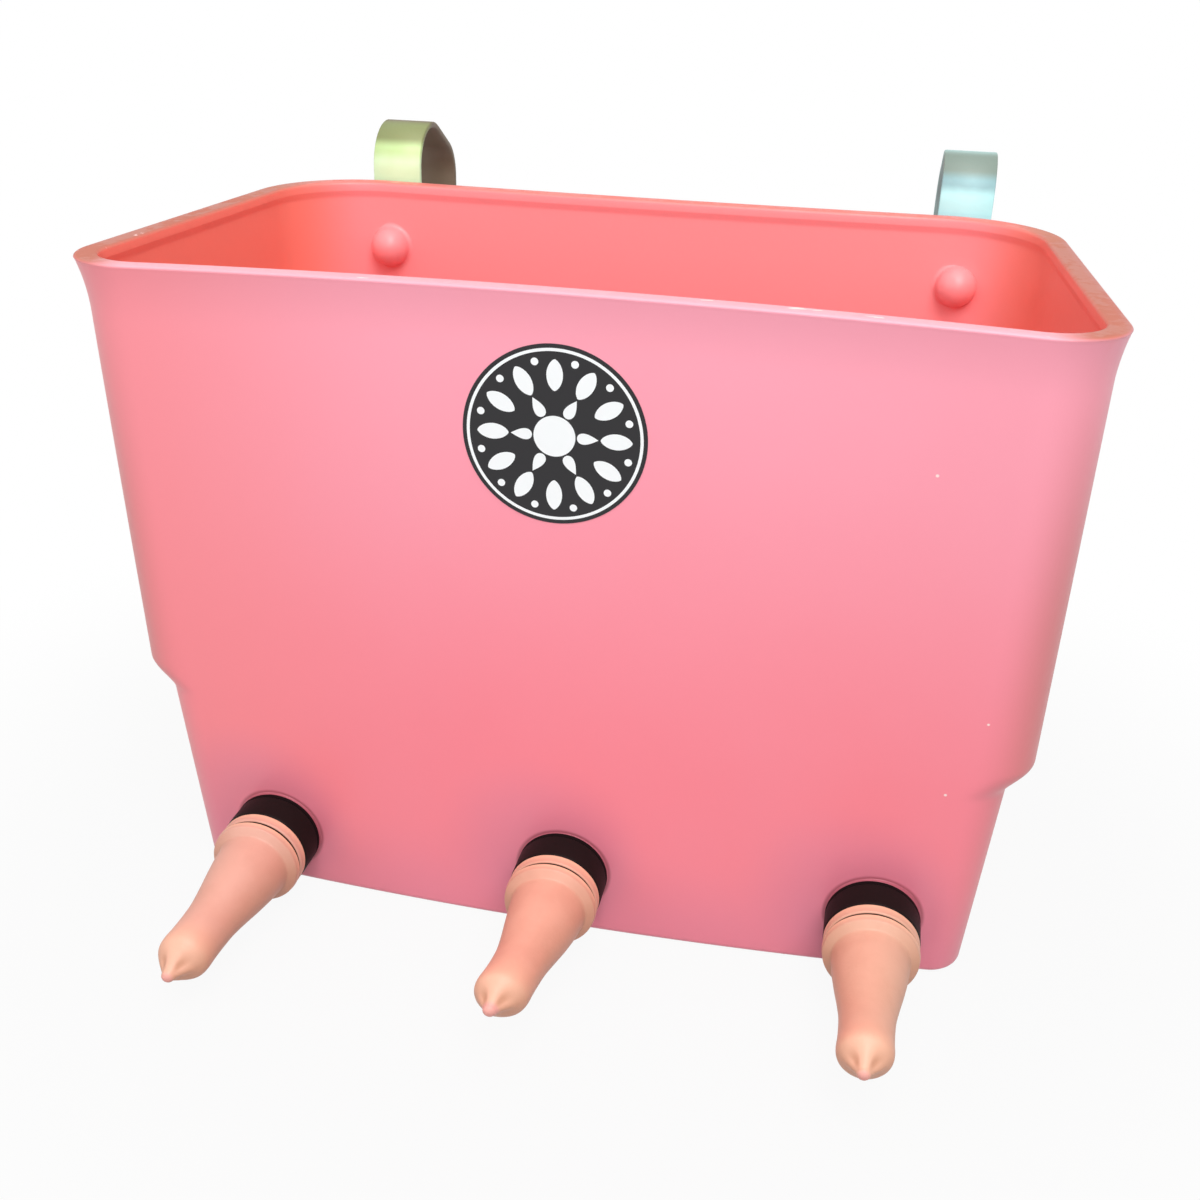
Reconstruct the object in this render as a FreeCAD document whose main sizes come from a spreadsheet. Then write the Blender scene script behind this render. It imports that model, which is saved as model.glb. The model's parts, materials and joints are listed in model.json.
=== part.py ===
import FreeCAD, Part
import math
import os

import Sketcher
from FreeCAD import Placement, Rotation, Vector

# Hook-over calf feeder: a one-piece moulded tub that hangs from a gate rail on two
# bent straps, with three rubber teats screwed into non-return fittings low on its front.
#
# Frame: millimetres, +Z up, front wall towards -Y. The origin is on the flat base, under
# the middle of the rim.

SIZES = [
    # Tub
    ("tub_width", 403.6, "rim, side to side at the front corners"),
    ("tub_depth", 227.0, "rim, front corner to back corner"),
    ("tub_height", 297.0, "base to rim"),
    ("wall", 5.5, "side wall thickness"),
    ("floor_wall", 6.0, "floor thickness"),
    ("shoulder_step", 9.5, "side walls under the shoulders, inside the upper ones"),
    ("lower_draft", 6.0, "further lean of the side walls from there to the base"),
    ("shoulder_height", 106.0, "middle of the shoulder slope above the base"),
    ("shoulder_rise", 16.0, "height that the shoulder slope takes"),
    ("front_recess", 32.8, "front wall's lean, base behind rim"),
    ("back_recess", 10.0, "back wall's draft, base inside rim"),
    ("back_narrowing", 12.4, "each back corner nearer the middle than the front one"),
    ("rim_flare", 2.4, "outward turn of the rim, on every side"),
    ("flare_height", 22.0, "height of the flared band"),
    ("front_bow", 15.0, "front rim drawn in at its middle"),
    ("base_bow", 9.0, "front base edge bulged out at its middle"),
    ("back_bow", 5.6, "back rim drawn in at its middle"),
    ("front_corner", 27.0, "front corner radius at the rim"),
    ("base_corner", 16.0, "front corner radius at the base"),
    ("back_corner", 49.0, "back corner radius"),
    ("rim_land", 9.0, "flat width of the rim"),
    ("lip_height", 4.5, "straight depth of the rim's inner lip"),
    ("lip_bevel", 2.0, "bevel under the inner lip"),
    ("base_radius", 9.0, "outside rounding under the base"),
    ("floor_radius", 6.0, "inside rounding round the floor"),
    # Teat fittings
    ("teat_pitch", 138.2, "teat to teat along the front"),
    ("teat_shift", 1.9, "middle teat to the right of the tub's middle"),
    ("teat_height", 31.2, "right teat's axis above the base"),
    ("middle_teat_rise", 2.0, "middle teat above the right one"),
    ("left_teat_drop", 1.5, "left teat under the right one"),
    ("boss_radius", 22.0, "round seat moulded into the front wall"),
    ("boss_depth", 13.0, "seat face to seat face through the wall"),
    ("boss_proud", 0.8, "outer seat ahead of the wall beside its top edge"),
    ("washer_thickness", 2.0, "sealing washer"),
    ("collar_radius", 20.5, "outside of the fitting's collar"),
    ("collar_length", 13.6, "collar along its axis"),
    ("socket_radius", 14.0, "collar socket that takes the teat's stem"),
    ("socket_depth", 11.0, "depth of that socket"),
    ("spigot_radius", 13.0, "fitting's spigot through the wall"),
    ("thread_clearance", 0.15, "radial clearance round a screwed part"),
    ("press_clearance", 0.05, "radial clearance round a pressed-in part"),
    ("fitting_bevel", 1.1, "bevels on the fitting's ends"),
    ("nut_flats", 36.0, "back nut across flats"),
    ("nut_thickness", 8.0, "back nut"),
    ("spigot_tail", 6.0, "spigot showing past the back nut"),
    ("outlet_radius", 9.5, "fitting's outlet bore"),
    ("web_thickness", 2.0, "slotted stop web in the bore"),
    ("web_hole", 4.5, "radius of the web's middle hole"),
    ("slot_width", 2.2, "flow slot in the web"),
    ("ball_radius", 6.5, "valve ball"),
    ("ball_clearance", 0.7, "ball to bore, radially"),
    ("ball_travel", 3.5, "ball from seat to web"),
    ("ball_rest_gap", 0.1, "ball to seat when closed"),
    ("seat_hole", 4.8, "radius of the valve seat's hole"),
    ("seat_radius", 8.0, "outside of the valve seat ring"),
    ("seat_depth", 4.0, "valve seat ring along its axis"),
    ("seat_bevel", 1.4, "bevel round the seat's way out"),
    # Teat
    ("teat_length", 82.0, "rubber in front of the collar"),
    ("flange_radius", 20.3, "teat's flange against the collar"),
    ("flange_thickness", 4.6, "that flange"),
    ("groove_width", 1.6, "groove behind the shoulder"),
    ("groove_radius", 18.0, "bottom of that groove"),
    ("cuff_radius", 20.5, "teat's shoulder"),
    ("cuff_length", 4.2, "straight part of the shoulder"),
    ("neck_radius", 16.2, "teat where it leaves the shoulder"),
    ("shaft_radius", 10.7, "teat at its thinnest"),
    ("shaft_sweep", 180.0, "radius of the shaft's hollow curve"),
    ("bulb_radius", 11.4, "teat at its rounded end"),
    ("bulb_length", 13.9, "shaft's end to the widest part of the bulb"),
    ("nose_length", 8.4, "widest part of the bulb to the drinking tip"),
    ("nose_bend", 15.0, "radius of the nose's curve"),
    ("nipple_radius", 4.2, "base of the drinking tip"),
    ("nipple_length", 4.2, "drinking tip"),
    ("tip_radius", 1.8, "drinking tip's end"),
    ("tip_bevel", 1.2, "bevel round that end"),
    ("rubber", 3.6, "teat wall"),
    ("stem_bore", 9.0, "radius of the bore through the stem"),
    # Hooks
    ("hook_pitch", 286.0, "hook to hook"),
    ("hook_shift", 5.0, "hooks to the right of the tub's middle"),
    ("bolt_drop", 31.5, "bolt axis under the rim"),
    ("strap_width", 25.0, "hook strap"),
    ("strap_thickness", 3.0, "hook strap"),
    ("strap_standoff", 0.8, "strap face behind the rim's back corners"),
    ("strap_tail", 16.0, "strap under its bolt"),
    ("hook_gap", 56.0, "clear gap between the hook's legs"),
    ("hook_crown", 26.5, "top of the hook above the rim"),
    ("hook_bend", 22.0, "outside radius of both bends"),
    ("hook_slope", 30.0, "fall of the crown towards the back, degrees"),
    ("hook_reach", 15.0, "tip of the back leg under the bolt axis"),
    ("strap_hole", 4.5, "radius of the strap's bolt hole"),
    ("strap_corner", 10.0, "rounding of the strap's lower end"),
    ("tip_corner", 6.0, "rounding of the back leg's tip"),
    ("pad_width", 34.0, "moulded pad behind the strap"),
    ("pad_height", 44.0, "moulded pad behind the strap"),
    ("pad_corner", 5.0, "corner radius of that pad"),
    ("dome_radius", 9.6, "rounded boss inside, over the insert"),
    ("dome_foot", 11.8, "radius of the rounding where that boss meets the wall"),
    ("insert_radius", 6.0, "threaded insert, outside"),
    ("insert_length", 14.0, "threaded insert"),
    ("insert_band", 2.8, "width of each of its grooves and lands"),
    ("insert_groove", 1.0, "depth of its two retaining grooves"),
    ("insert_end", 1.0, "thickness of its closed end"),
    ("bolt_radius", 4.0, "bolt shank"),
    ("bolt_length", 16.0, "bolt under its head"),
    ("bolt_bevel", 0.8, "bevel on the bolt's end"),
    ("bolt_flats", 13.0, "bolt head across flats"),
    ("bolt_head", 5.3, "bolt head height"),
    ("plate_washer_radius", 8.0, "flat washer"),
    ("plate_washer_thickness", 1.6, "flat washer"),
]

SIDES = ("left", "right")
TEATS = (("left", -1), ("middle", 0), ("right", 1))
STEP_FRACTIONS = ((-0.5, 0.0), (-0.22, 0.14), (0.0, 0.5), (0.22, 0.86), (0.5, 1.0))
FLARE_SHARES = (1.0, 0.5, 0.0)
HEX_CORNERS = 6
WEB_SLOTS = 4
NEAR = 0.01

doc = FreeCAD.newDocument("CalfFeeder")


class Dim:
    """A length with its formula: the text binds a feature, the value places its first sketch."""

    def __init__(self, text, value):
        self.text = text
        self.value = float(value)

    @staticmethod
    def of(other):
        return other if isinstance(other, Dim) else Dim(repr(float(other)), other)

    def join(self, sign, other, value):
        return Dim("(%s %s %s)" % (self.text, sign, other.text), value)

    def __add__(self, other):
        other = Dim.of(other)
        return self.join("+", other, self.value + other.value)

    def __sub__(self, other):
        other = Dim.of(other)
        return self.join("-", other, self.value - other.value)

    def __mul__(self, other):
        other = Dim.of(other)
        return self.join("*", other, self.value * other.value)

    def __truediv__(self, other):
        other = Dim.of(other)
        return self.join("/", other, self.value / other.value)

    def __radd__(self, other):
        return Dim.of(other) + self

    def __rsub__(self, other):
        return Dim.of(other) - self

    def __rmul__(self, other):
        return Dim.of(other) * self

    def __neg__(self):
        return Dim("(0 - %s)" % self.text, -self.value)

    def root(self):
        return Dim("sqrt(%s)" % self.text, math.sqrt(self.value))

    def sine(self):
        return Dim("sin(%s * 1deg)" % self.text, math.sin(math.radians(self.value)))

    def cosine(self):
        return Dim("cos(%s * 1deg)" % self.text, math.cos(math.radians(self.value)))


def make_sheet():
    sheet = doc.addObject("Spreadsheet::Sheet", "Sizes")
    for row, (name, value, meaning) in enumerate(SIZES, start=1):
        sheet.set("A%d" % row, name)
        sheet.set("B%d" % row, str(value))
        sheet.set("C%d" % row, meaning)
        sheet.setAlias("B%d" % row, name)
    doc.recompute()
    return {name: Dim("Sizes.%s" % name, value) for name, value, meaning in SIZES}


S = make_sheet()
ZERO = Dim.of(0)


# Helpers for sketches and features

def bind(thing, path, size):
    thing.setExpression(path, size.text)


def new_body(name, x=ZERO, y=ZERO, z=ZERO):
    body = doc.addObject("PartDesign::Body", name)
    body.Label = name
    body.Placement = Placement(Vector(x.value, y.value, z.value), Rotation())
    for axis, size in (("x", x), ("y", y), ("z", z)):
        bind(body, "Placement.Base." + axis, size)
    return body


def origin_plane(body, role):
    return [item for item in body.Origin.OriginFeatures if item.Role == role][0]


def new_sketch(body, name, plane, offset=ZERO):
    sketch = body.newObject("Sketcher::SketchObject", "%s_%s" % (body.Name, name))
    sketch.AttachmentSupport = [(origin_plane(body, plane), "")]
    sketch.MapMode = "FlatFace"
    sketch.AttachmentOffset = Placement(Vector(0, 0, offset.value), Rotation())
    bind(sketch, "AttachmentOffset.Base.z", offset)
    return sketch


def fix(sketch, kind, refs, size):
    """Add a measured constraint and bind it to its formula."""
    number = sketch.addConstraint(Sketcher.Constraint(kind, *refs, size.value))
    bind(sketch, "Constraints[%d]" % number, size)


def fix_point(sketch, geometry, end, x, y):
    fix(sketch, "DistanceX", (-1, 1, geometry, end), x)
    fix(sketch, "DistanceY", (-1, 1, geometry, end), y)


def arc_through(start, end, radius, turn):
    """Arc from start to end; turn is +1 for a left-hand bend and -1 for a right-hand one."""
    chord = end - start
    half = chord.Length / 2
    rise = math.sqrt(max(radius * radius - half * half, 0.0))
    normal = Vector(-chord.y, chord.x, 0).normalize()
    centre = (start + end) * 0.5 + normal * rise * turn
    first, last = (start, end) if turn > 0 else (end, start)
    angles = [math.atan2(p.y - centre.y, p.x - centre.x) for p in (first, last)]
    return Part.ArcOfCircle(Part.Circle(centre, Vector(0, 0, 1), radius), *angles)


def draw_profile(sketch, points, bends=None):
    """Closed outline through bound points; bends maps an edge's number to (radius, turn)."""
    bends = bends or {}
    spots = [Vector(x.value, y.value, 0) for x, y in points]
    ends = []
    for number, start in enumerate(spots):
        end = spots[(number + 1) % len(spots)]
        if number in bends:
            radius, turn = bends[number]
            edge = sketch.addGeometry(arc_through(start, end, radius.value, turn), False)
            ends.append((edge, 1, 2) if turn > 0 else (edge, 2, 1))
            fix(sketch, "Radius", (edge,), radius)
        else:
            edge = sketch.addGeometry(Part.LineSegment(start, end), False)
            ends.append((edge, 1, 2))
    for number, (edge, first, last) in enumerate(ends):
        follower = ends[(number + 1) % len(ends)]
        sketch.addConstraint(Sketcher.Constraint("Coincident", edge, last, follower[0], follower[1]))
        fix_point(sketch, edge, first, *points[number])


def draw_circle(sketch, x, y, radius):
    centre = Vector(x.value, y.value, 0)
    circle = sketch.addGeometry(Part.Circle(centre, Vector(0, 0, 1), radius.value), False)
    fix(sketch, "Radius", (circle,), radius)
    fix_point(sketch, circle, 3, x, y)


def draw_box(sketch, left, bottom, width, height):
    right = left + width
    top = bottom + height
    draw_profile(sketch, [(left, bottom), (right, bottom), (right, top), (left, top)])


def feature(body, kind, name, sketch):
    made = body.newObject("PartDesign::" + kind, "%s_%s" % (body.Name, name))
    made.Profile = (sketch, [""])
    sketch.Visibility = False
    return made


def pad(body, name, sketch, length, flipped=False, middle=False):
    made = feature(body, "Pad", name, sketch)
    made.Length = length.value
    made.Reversed = flipped
    made.Midplane = middle
    bind(made, "Length", length)
    return made


def pocket(body, name, sketch, length, flipped=False, middle=False):
    before = current_volume(body)
    made = feature(body, "Pocket", name, sketch)
    made.Length = length.value
    made.Reversed = flipped
    made.Midplane = middle
    bind(made, "Length", length)
    if current_volume(body) > before - NEAR:
        raise RuntimeError("%s cut nothing" % made.Name)
    return made


def revolve(body, name, sketch, axis="H_Axis"):
    made = feature(body, "Revolution", name, sketch)
    made.ReferenceAxis = (sketch, [axis])
    made.Angle = 360
    return made


def dress(body, kind, name, base, chosen, size):
    """Fillet or chamfer the edges of base that chosen picks."""
    doc.recompute()
    edges = ["Edge%d" % (n + 1) for n, edge in enumerate(base.Shape.Edges) if chosen(edge)]
    made = body.newObject("PartDesign::" + kind, "%s_%s" % (body.Name, name))
    made.Base = (base, edges)
    path = "Radius" if kind == "Fillet" else "Size"
    setattr(made, path, size.value)
    bind(made, path, size)
    return made


def current_volume(body):
    doc.recompute()
    return body.Shape.Volume


def at_height(edge, height):
    return all(abs(vertex.Z - height) < NEAR for vertex in edge.Vertexes)


# Tub: every level of its outline is one rounded trapezium

def long_edge(half, level, bow, outward):
    """Circle of a bowed long edge as (centre height, radius), or None where it is straight."""
    if bow.value == 0:
        return None
    depth = bow if bow.value > 0 else -bow
    radius = (half * half + depth * depth) / (2 * depth)
    if bow.value > 0:
        centre = level - outward * depth + outward * radius
    else:
        centre = level + outward * depth - outward * radius
    return centre, radius


def corner_centre(near, far, inward, edge, level, radius, outward):
    """Centre of a corner arc that touches the side line and the long edge."""
    along = (far - near).normalize()
    start = near + inward * radius
    if edge is None:
        return start + along * ((level - outward * radius - start.y) / along.y)
    centre_y, bend = edge
    hollow = (centre_y - level) * outward > 0
    reach = bend + radius if hollow else bend - radius
    to_centre = start - Vector(0, centre_y, 0)
    half_b = to_centre.dot(along)
    spread = math.sqrt(half_b ** 2 - to_centre.dot(to_centre) + reach ** 2)
    steps = sorted((-half_b - spread, -half_b + spread), key=abs)
    return start + along * steps[0]


def draw_level(sketch, half, narrow, front, back, front_bow, back_bow, front_r, back_r):
    """Rounded trapezium: bowed front and back edges, straight sides, four tangent corners."""
    half_back = half - narrow
    front_edge = long_edge(half, front, front_bow, -1)
    back_edge = long_edge(half_back, back, back_bow, 1)
    front_end = Vector(half.value, front.value, 0)
    back_end = Vector(half_back.value, back.value, 0)
    along = (back_end - front_end).normalize()
    inward = Vector(-along.y, along.x, 0)
    plain = [None if edge is None else (edge[0].value, edge[1].value) for edge in (front_edge, back_edge)]
    corner_f = corner_centre(front_end, back_end, inward, plain[0], front.value, front_r.value, -1)
    corner_b = corner_centre(back_end, front_end, inward, plain[1], back.value, back_r.value, 1)
    touch_f = long_touch(corner_f, plain[0], front.value)
    touch_b = long_touch(corner_b, plain[1], back.value)
    side_f = corner_f - inward * front_r.value
    side_b = corner_b - inward * back_r.value

    right_side = sketch.addGeometry(Part.LineSegment(side_f, side_b), False)
    right_b = add_corner(sketch, corner_b, side_b, touch_b, back_r.value)
    back_geo, back_left, back_right = add_long_edge(sketch, plain[1], touch_b)
    left_b = add_corner(sketch, flip(corner_b), flip(touch_b), flip(side_b), back_r.value)
    left_side = sketch.addGeometry(Part.LineSegment(flip(side_b), flip(side_f)), False)
    left_f = add_corner(sketch, flip(corner_f), flip(side_f), flip(touch_f), front_r.value)
    front_geo, front_left, front_right = add_long_edge(sketch, plain[0], touch_f)
    right_f = add_corner(sketch, corner_f, touch_f, side_f, front_r.value)

    joints = [(front_geo, front_right, right_f, 1), (right_f, 2, right_side, 1),
              (right_side, 2, right_b, 1), (right_b, 2, back_geo, back_right),
              (back_geo, back_left, left_b, 1), (left_b, 2, left_side, 1),
              (left_side, 2, left_f, 1), (left_f, 2, front_geo, front_left)]
    for joint in joints:
        sketch.addConstraint(Sketcher.Constraint("Tangent", *joint))
    fix(sketch, "Radius", (right_f,), front_r)
    fix(sketch, "Radius", (right_b,), back_r)
    sketch.addConstraint(Sketcher.Constraint("Equal", right_f, left_f))
    sketch.addConstraint(Sketcher.Constraint("Equal", right_b, left_b))
    hold_long_edge(sketch, front_geo, front_edge, front, front_left)
    hold_long_edge(sketch, back_geo, back_edge, back, back_left)
    for sign, line in ((1, right_side), (-1, left_side)):
        for x, y in ((half, front), (half_back, back)):
            spot = sketch.addGeometry(Part.Point(Vector(sign * x.value, y.value, 0)), True)
            fix_point(sketch, spot, 1, sign * x, y)
            sketch.addConstraint(Sketcher.Constraint("PointOnObject", spot, 1, line))


def flip(point):
    return Vector(-point.x, point.y, 0)


def long_touch(corner, edge, level):
    """Where a corner arc meets the long edge."""
    if edge is None:
        return Vector(corner.x, level, 0)
    centre = Vector(0, edge[0], 0)
    return centre + (corner - centre).normalize() * edge[1]


def add_long_edge(sketch, edge, touch):
    """Add a front or back edge; returns its number and which of its ends is left and right."""
    if edge is None:
        return sketch.addGeometry(Part.LineSegment(flip(touch), touch), False), 1, 2
    centre_y, radius = edge
    right = math.atan2(touch.y - centre_y, touch.x)
    left = math.pi - right
    circle = Part.Circle(Vector(0, centre_y, 0), Vector(0, 0, 1), radius)
    if touch.y > centre_y:
        return sketch.addGeometry(Part.ArcOfCircle(circle, right, left), False), 2, 1
    return sketch.addGeometry(Part.ArcOfCircle(circle, left, right), False), 1, 2


def add_corner(sketch, centre, start, end, radius):
    angles = [math.atan2(p.y - centre.y, p.x - centre.x) for p in (start, end)]
    circle = Part.Circle(centre, Vector(0, 0, 1), radius)
    return sketch.addGeometry(Part.ArcOfCircle(circle, *angles), False)


def hold_long_edge(sketch, number, edge, level, left_end):
    """Straight edges are held level at their height, bowed ones by centre and radius."""
    if edge is None:
        sketch.addConstraint(Sketcher.Constraint("Horizontal", number))
        fix(sketch, "DistanceY", (-1, 1, number, left_end), level)
        return
    sketch.addConstraint(Sketcher.Constraint("PointOnObject", number, 3, -2))
    fix(sketch, "DistanceY", (-1, 1, number, 3), edge[0])
    fix(sketch, "Radius", (number,), edge[1])


def front_line(height):
    """Outside of the front wall's corners at a height, without flare."""
    lean = S["front_recess"] * (1 - height / S["tub_height"])
    return S["rim_flare"] - S["tub_depth"] / 2 + lean


def back_line(height):
    """Outside of the back wall's corners at a height, without flare."""
    return S["tub_depth"] / 2 - S["rim_flare"] - S["back_recess"] * (1 - height / S["tub_height"])


def rim_share(height):
    """How far a height is from the shoulder to the rim, 0 to 1."""
    return (height - S["shoulder_height"]) / (S["tub_height"] - S["shoulder_height"])


def tub_level(body, name, height, half, flare, inset, front_bow, back_bow):
    """One level of the tub's outline, moved in by inset for the cavity."""
    sketch = new_sketch(body, name, "XY_Plane", height)
    share = height / S["tub_height"]
    front_r = S["base_corner"] + (S["front_corner"] - S["base_corner"]) * share - inset
    draw_level(sketch, half + flare - inset, S["back_narrowing"],
               front_line(height) - flare + inset, back_line(height) + flare - inset,
               front_bow, back_bow, front_r, S["back_corner"] - inset)
    return sketch


def loft(body, kind, name, sections):
    """Straight-sided loft through levels, listed from the base up and lofted from the top down."""
    made = feature(body, kind, name, sections[-1])
    made.Sections = [(section, [""]) for section in sections[-2::-1]]
    made.Ruled = True
    for section in sections:
        section.Visibility = False
    return made


def shoulder_levels(body, prefix, inset):
    """Straight-edged levels through the side shoulders, eased at both ends."""
    made = []
    for number, (place, share) in enumerate(STEP_FRACTIONS):
        height = S["shoulder_height"] + S["shoulder_rise"] * place
        half = waist_half() + S["shoulder_step"] * share
        name = "%sShoulder%d" % (prefix, number)
        made.append(tub_level(body, name, height, half, ZERO, inset, ZERO, ZERO))
    return made


def upper_half():
    """Half width of the upper tub, the same from the shoulder to the flared band."""
    return S["tub_width"] / 2 - S["rim_flare"]


def waist_half():
    """Half width just under the side shoulders."""
    return upper_half() - S["shoulder_step"]


def base_half():
    return waist_half() - S["lower_draft"]


def tub_outside(body):
    rim = S["tub_height"]
    levels = [tub_level(body, "BaseLevel", ZERO, base_half(), ZERO, ZERO, -S["base_bow"], ZERO)]
    levels += shoulder_levels(body, "Outer", ZERO)
    for number, share in enumerate(FLARE_SHARES):
        height = rim - S["flare_height"] * share
        flare = S["rim_flare"] * (1 - share) ** 2
        bow = rim_share(height)
        levels.append(tub_level(body, "OuterRim%d" % number, height, upper_half(), flare,
                                ZERO, S["front_bow"] * bow, S["back_bow"] * bow))
    return loft(body, "AdditiveLoft", "Outside", levels)


def tub_cavity(body):
    rim = S["tub_height"]
    inset = S["wall"]
    share = S["floor_wall"] / S["shoulder_height"]
    half = base_half() + S["lower_draft"] * share
    levels = [tub_level(body, "FloorLevel", S["floor_wall"], half, ZERO, inset,
                        S["base_bow"] * share - S["base_bow"], ZERO)]
    levels += shoulder_levels(body, "Inner", inset)
    lip = S["rim_land"] - S["rim_flare"]
    marks = ((S["flare_height"], inset), (S["lip_height"] + S["lip_bevel"], inset),
             (S["lip_height"], lip), (ZERO - S["wall"], lip))
    for number, (below, depth) in enumerate(marks):
        height = rim - below
        bow = rim_share(height)
        levels.append(tub_level(body, "InnerRim%d" % number, height, upper_half(), ZERO,
                                depth, S["front_bow"] * bow, S["back_bow"] * bow))
    return loft(body, "SubtractiveLoft", "Cavity", levels)


# Places that several pieces share

def teat_x(place):
    return S["teat_shift"] + S["teat_pitch"] * place


def teat_z(place):
    """Height of a teat's axis; the three are a little uneven."""
    if place < 0:
        return S["teat_height"] - S["left_teat_drop"]
    if place == 0:
        return S["teat_height"] + S["middle_teat_rise"]
    return S["teat_height"]


def front_bulge(x, height):
    """How far the front wall stands ahead of its corner line low on the tub."""
    fade = 1 - height / S["shoulder_height"]
    half = base_half()
    return S["base_bow"] * fade * (1 - x * x / (half * half))


def seat_y(place):
    """Outer seat plane of a teat fitting, just ahead of the wall at the seat's top edge."""
    top = teat_z(place) + S["boss_radius"]
    inner_x = S["boss_radius"] - S["teat_pitch"] * abs(place) if place else ZERO
    return front_line(top) - front_bulge(inner_x, top) - S["boss_proud"]


def hook_x(side):
    return S["hook_shift"] + S["hook_pitch"] * (-0.5 if side == "left" else 0.5)


def bolt_z():
    return S["tub_height"] - S["bolt_drop"]


def strap_y():
    """Face of the hook strap that lies on the tub's pad."""
    return S["tub_depth"] / 2 + S["strap_standoff"]


def back_sag(height):
    """Back wall drawn in from its corner line at the hooks."""
    half = S["tub_width"] / 2 - S["back_narrowing"]
    reach = S["hook_pitch"] / 2
    return S["back_bow"] * rim_share(height) * (1 - reach * reach / (half * half))


def wall_back_y():
    """Outside of the back wall at the hook bolts."""
    return back_line(bolt_z()) - back_sag(bolt_z())


def build_tub():
    body = new_body("tub")
    outside = tub_outside(body)
    dress(body, "Fillet", "BaseRounding", outside, lambda edge: at_height(edge, 0.0),
          S["base_radius"])
    for side in SIDES:
        plate = new_sketch(body, "HookPad_" + side, "XZ_Plane", -strap_y())
        draw_box(plate, hook_x(side) - S["pad_width"] / 2, bolt_z() - S["pad_height"] / 2,
                 S["pad_width"], S["pad_height"])
        depth = strap_y() - wall_back_y() + S["wall"] / 2
        made = pad(body, "HookPadBlock_" + side, plate, depth)
        strap_face = strap_y().value
        dress(body, "Fillet", "HookPadRounding_" + side, made,
              lambda edge: pad_corner_edge(edge, hook_x(side), strap_face), S["pad_corner"])
    cavity = tub_cavity(body)
    floor = S["floor_wall"].value
    dress(body, "Fillet", "FloorRounding", cavity,
          lambda edge: at_height(edge, floor), S["floor_radius"])
    for name, place in TEATS:
        seat = new_sketch(body, "TeatSeat_" + name, "XZ_Plane", -seat_y(place))
        draw_circle(seat, teat_x(place), teat_z(place), S["boss_radius"])
        pad(body, "TeatBoss_" + name, seat, S["boss_depth"], flipped=True)
    for name, place in TEATS:
        hole = new_sketch(body, "TeatHoleRing_" + name, "XZ_Plane", -seat_y(place))
        draw_circle(hole, teat_x(place), teat_z(place), S["spigot_radius"] + S["thread_clearance"])
        pocket(body, "TeatHole_" + name, hole, S["boss_depth"])
    for side in SIDES:
        add_dome(body, side)
    for side in SIDES:
        hole = new_sketch(body, "InsertRing_" + side, "XZ_Plane", -strap_y())
        draw_circle(hole, hook_x(side), bolt_z(), S["insert_radius"])
        pocket(body, "InsertHole_" + side, hole, S["insert_length"], flipped=True)
    return body


def pad_corner_edge(edge, middle, face):
    """Short edges of a hook pad that run front to back."""
    ends = edge.Vertexes
    if len(ends) != 2:
        return False
    runs_back = abs(ends[0].X - ends[1].X) < NEAR and abs(ends[0].Z - ends[1].Z) < NEAR
    own = abs(ends[0].X - middle.value) < S["pad_width"].value
    return runs_back and own and max(ends[0].Y, ends[1].Y) > face - NEAR


def add_dome(body, side):
    """Rounded boss over the insert, with a hollow rounding where it leaves the wall."""
    sketch = new_sketch(body, "DomeOutline_" + side, "YZ_Plane", hook_x(side))
    wall_in = wall_back_y() - S["wall"]
    buried = wall_in + S["wall"] / 2
    foot = S["dome_foot"] - S["dome_radius"]
    points = [(buried, bolt_z()), (buried, bolt_z() + S["dome_foot"]),
              (wall_in, bolt_z() + S["dome_foot"]), (wall_in - foot, bolt_z() + S["dome_radius"]),
              (wall_in - foot - S["dome_radius"], bolt_z())]
    draw_profile(sketch, points, {2: (foot, -1), 3: (S["dome_radius"], 1)})
    axis = sketch.addGeometry(Part.LineSegment(Vector(buried.value, bolt_z().value, 0),
                                               Vector(wall_in.value, bolt_z().value, 0)), True)
    fix_point(sketch, axis, 1, buried, bolt_z())
    fix_point(sketch, axis, 2, wall_in, bolt_z())
    revolve(body, "Dome_" + side, sketch, "Axis0")


# Hooks and their fixings

def build_hook(side):
    """Strap bent over a rail: upright, bend, falling crown, bend, back leg."""
    body = new_body("hook_" + side, hook_x(side), strap_y(), bolt_z())
    sketch = new_sketch(body, "Strip", "YZ_Plane")
    thick = S["strap_thickness"]
    bend = S["hook_bend"]
    inner = bend - thick
    span = S["hook_gap"] + thick * 2
    top = S["bolt_drop"] + S["hook_crown"]
    sine = S["hook_slope"].sine()
    cosine = S["hook_slope"].cosine()
    front_z = top - bend
    back_z = front_z - (span - bend * 2) * sine / cosine
    low = -S["strap_tail"]
    tip = -S["hook_reach"]
    points = [(ZERO, low), (thick, low), (thick, front_z),
              (bend + inner * sine, front_z + inner * cosine),
              (span - bend + inner * sine, back_z + inner * cosine),
              (span - thick, back_z), (span - thick, tip), (span, tip), (span, back_z),
              (span - bend + bend * sine, back_z + bend * cosine),
              (bend + bend * sine, front_z + bend * cosine), (ZERO, front_z)]
    draw_profile(sketch, points, {2: (inner, -1), 4: (inner, -1), 8: (bend, 1), 10: (bend, 1)})
    strip = pad(body, "Strap", sketch, S["strap_width"], middle=True)
    ends = dress(body, "Fillet", "LowerEnd", strip,
                 lambda edge: end_corner(edge, low.value), S["strap_corner"])
    dress(body, "Fillet", "Tip", ends, lambda edge: end_corner(edge, tip.value), S["tip_corner"])
    hole = new_sketch(body, "BoltRing", "XZ_Plane")
    draw_circle(hole, ZERO, ZERO, S["strap_hole"])
    pocket(body, "BoltHole", hole, thick * 2, middle=True)
    return body


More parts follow.
